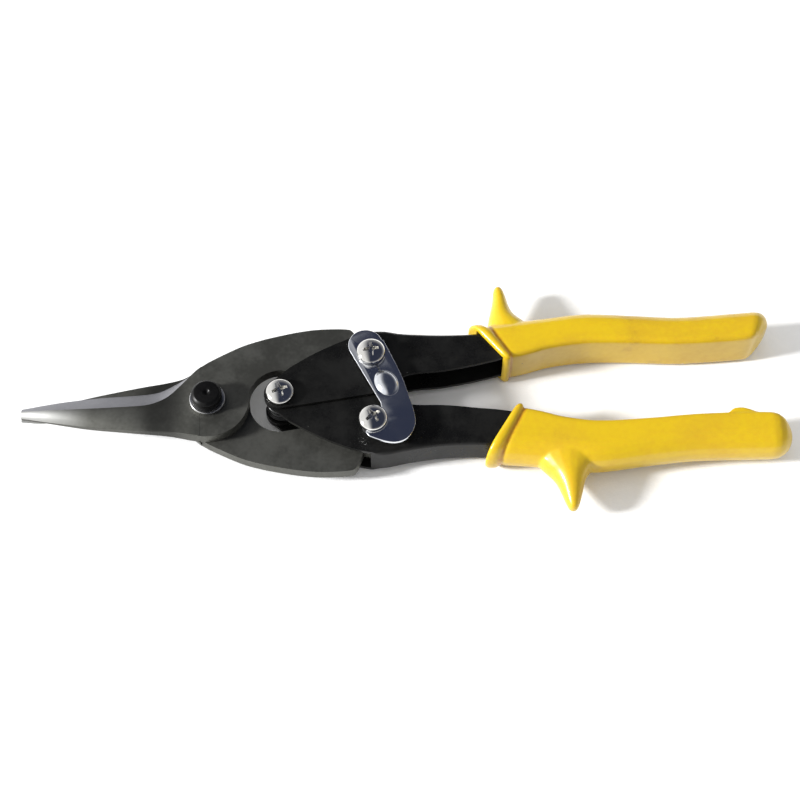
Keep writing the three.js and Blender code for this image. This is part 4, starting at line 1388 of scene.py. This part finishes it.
# ---------------------------------------------------------------- opening spring
@dataclass
class OpeningSpring:
    """Torsion spring: a coil round the handle pivot with a leg into each channel."""

    wire: float = 1.4
    turns: int = 4
    coil_radius: float = 4.0
    leg: float = 5.6
    leg_play: float = 0.25
    tail_radius: float = 6.6

    def path(self) -> list[Point]:
        """Centre line of the wire, from the lower leg through the coil to the upper leg."""
        px, _ = middle("handle_pivot_screw")
        box_low, box_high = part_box("opening_spring")
        low, high = box_low[2] / MM + self.wire / 2, box_high[2] / MM - self.wire / 2
        tail, across = middle("upper_tail_screw")
        bend = tail + self.tail_radius + 3
        passing = across - self.tail_radius - self.wire / 2 - self.leg_play
        legs = [(bend + 7, 16.0), (bend + 3, 9.0), (bend - 3, self.leg), (tail, passing),
                (px + 12, passing + 0.1)]
        steps = self.turns * 16
        coil = []
        for i in range(steps + 1):
            angle = -math.pi / 2 - i / steps * (self.turns * 2 - 1) * math.pi
            coil.append((px + self.coil_radius * math.cos(angle),
                         self.coil_radius * math.sin(angle), low + (high - low) * i / steps))
        return [*((x, -y, low) for x, y in legs), *coil, *((x, y, high) for x, y in reversed(legs))]

    def make(self) -> None:
        """Bends the wire along its path between the handles."""
        points = self.path()
        Bench.rest()
        bpy.ops.curve.primitive_bezier_curve_add()
        rail = bpy.context.object
        rail.data.splines.clear()
        spline = rail.data.splines.new("NURBS")
        spline.points.add(len(points) - 1)
        for knot, point in zip(spline.points, points):
            knot.co = (*(Vector(point) * MM), 1)
        spline.order_u = 3
        spline.use_endpoint_u = True
        rail.data.dimensions = "3D"
        rail.data.bevel_depth = self.wire / 2 * MM
        rail.data.bevel_resolution = 4
        rail.data.resolution_u = 3
        rail.data.use_fill_caps = True
        rail.name = "opening_spring_wire"
        bpy.ops.object.convert(target="MESH")
        piece = bpy.context.object
        Bench.edit(piece)
        Bench.outward(piece)
        Bench.shade(piece, 50)
        piece.data.materials.append(WIRE.material())
        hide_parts("opening_spring")
        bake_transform(piece)
        log.info("%s winds between the handles", piece.name)


# ---------------------------------------------------------------- studio
@dataclass
class Studio:
    """Pale floor, soft key light from the jaw side, bright surroundings and the camera."""

    elevation: float = 61.0
    azimuth: float = -2.0
    distance: float = 600.0
    lens: float = 83.16
    aim: Point = (62.06, 0.08, 8.7)
    key_elevation: float = 25.0
    key_azimuth: float = 188.0
    key_power: float = 6.5
    fill: float = 0.76
    sky: Colour = (0.03, 0.036, 0.062, 1)
    far: Colour = (0.3, 0.3, 0.31, 1)

    def camera(self) -> None:
        """Adds the camera at its distance from the point it looks at."""
        el, az = math.radians(self.elevation), math.radians(self.azimuth)
        ahead = Vector((-math.sin(az) * math.cos(el), math.cos(az) * math.cos(el), -math.sin(el)))
        aim = Vector(self.aim) * MM
        bpy.ops.object.camera_add(location=aim - ahead * self.distance * MM,
                                  rotation=ahead.to_track_quat("-Z", "Y").to_euler())
        camera = bpy.context.object
        camera.data.lens = self.lens
        camera.data.sensor_width = 36
        camera.data.clip_start = 0.01
        bpy.context.scene.camera = camera

    def floor(self) -> None:
        """Adds the pale floor that the tool lies on."""
        bpy.ops.mesh.primitive_plane_add(size=6, location=(0, 0, 0))
        floor = bpy.context.object
        floor.name = "floor"
        material = bpy.data.materials.new("pale_floor")
        material.use_nodes = True
        graph = Graph(material.node_tree)
        shader = material.node_tree.nodes["Principled BSDF"]
        place = graph.add("TexCoord").outputs["Object"]
        soft = graph.noise(place, 260.0, 5.0, 0.65)
        graph.tree.links.new(graph.mix(soft, (0.82, 0.82, 0.82, 1), (0.9, 0.9, 0.9, 1)),
                             shader.inputs["Base Color"])
        graph.tree.links.new(Finish.bump(graph, soft, 0.25, 0.6), shader.inputs["Normal"])
        shader.inputs["Roughness"].default_value = 0.8
        floor.data.materials.append(material)

    def lights(self) -> None:
        """Adds the key light and the surroundings."""
        el, az = math.radians(self.key_elevation), math.radians(self.key_azimuth)
        aside = Vector((math.cos(az) * math.cos(el), math.sin(az) * math.cos(el), math.sin(el)))
        bpy.ops.object.light_add(type="SUN", location=aside,
                                 rotation=(-aside).to_track_quat("-Z", "Y").to_euler())
        key = bpy.context.object
        key.data.energy = self.key_power
        key.data.angle = math.radians(9)
        world = bpy.data.worlds.new("surroundings")
        bpy.context.scene.world = world
        world.use_nodes = True
        graph = Graph(world.node_tree)
        ray = graph.add("TexCoord").outputs["Generated"]
        split = graph.add("SeparateXYZ", {"Vector": ray})
        height = graph.ramp(split.outputs["Z"], 0.12, 0.62)
        side = graph.ramp(split.outputs["X"], -0.04, -0.55)
        overhead = graph.mix(side, self.sky, (0.9, 0.9, 0.9, 1))
        horizon = graph.mix(side, self.far, (1.0, 1.0, 1.0, 1))
        mirrored_sky = graph.mix(height, horizon, overhead)
        shiny = graph.add("LightPath").outputs["Is Glossy Ray"]
        fill = (self.fill, self.fill, self.fill, 1)
        back = world.node_tree.nodes["Background"]
        world.node_tree.links.new(graph.mix(shiny, fill, mirrored_sky), back.inputs["Color"])
        back.inputs["Strength"].default_value = 1.0

    def make(self) -> None:
        """Sets up the whole studio."""
        self.camera()
        self.floor()
        self.lights()
        bpy.context.scene.view_settings.view_transform = "Standard"


def main() -> None:
    """Builds the studio and every sub-assembly in order."""
    logging.basicConfig(level=logging.INFO, format="%(message)s")
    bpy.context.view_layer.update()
    Studio().make()
    blades()
    handles()
    fasteners()
    Latch().make()
    OpeningSpring().make()
    Bench.rest()


if __name__ == "__main__":
    main()
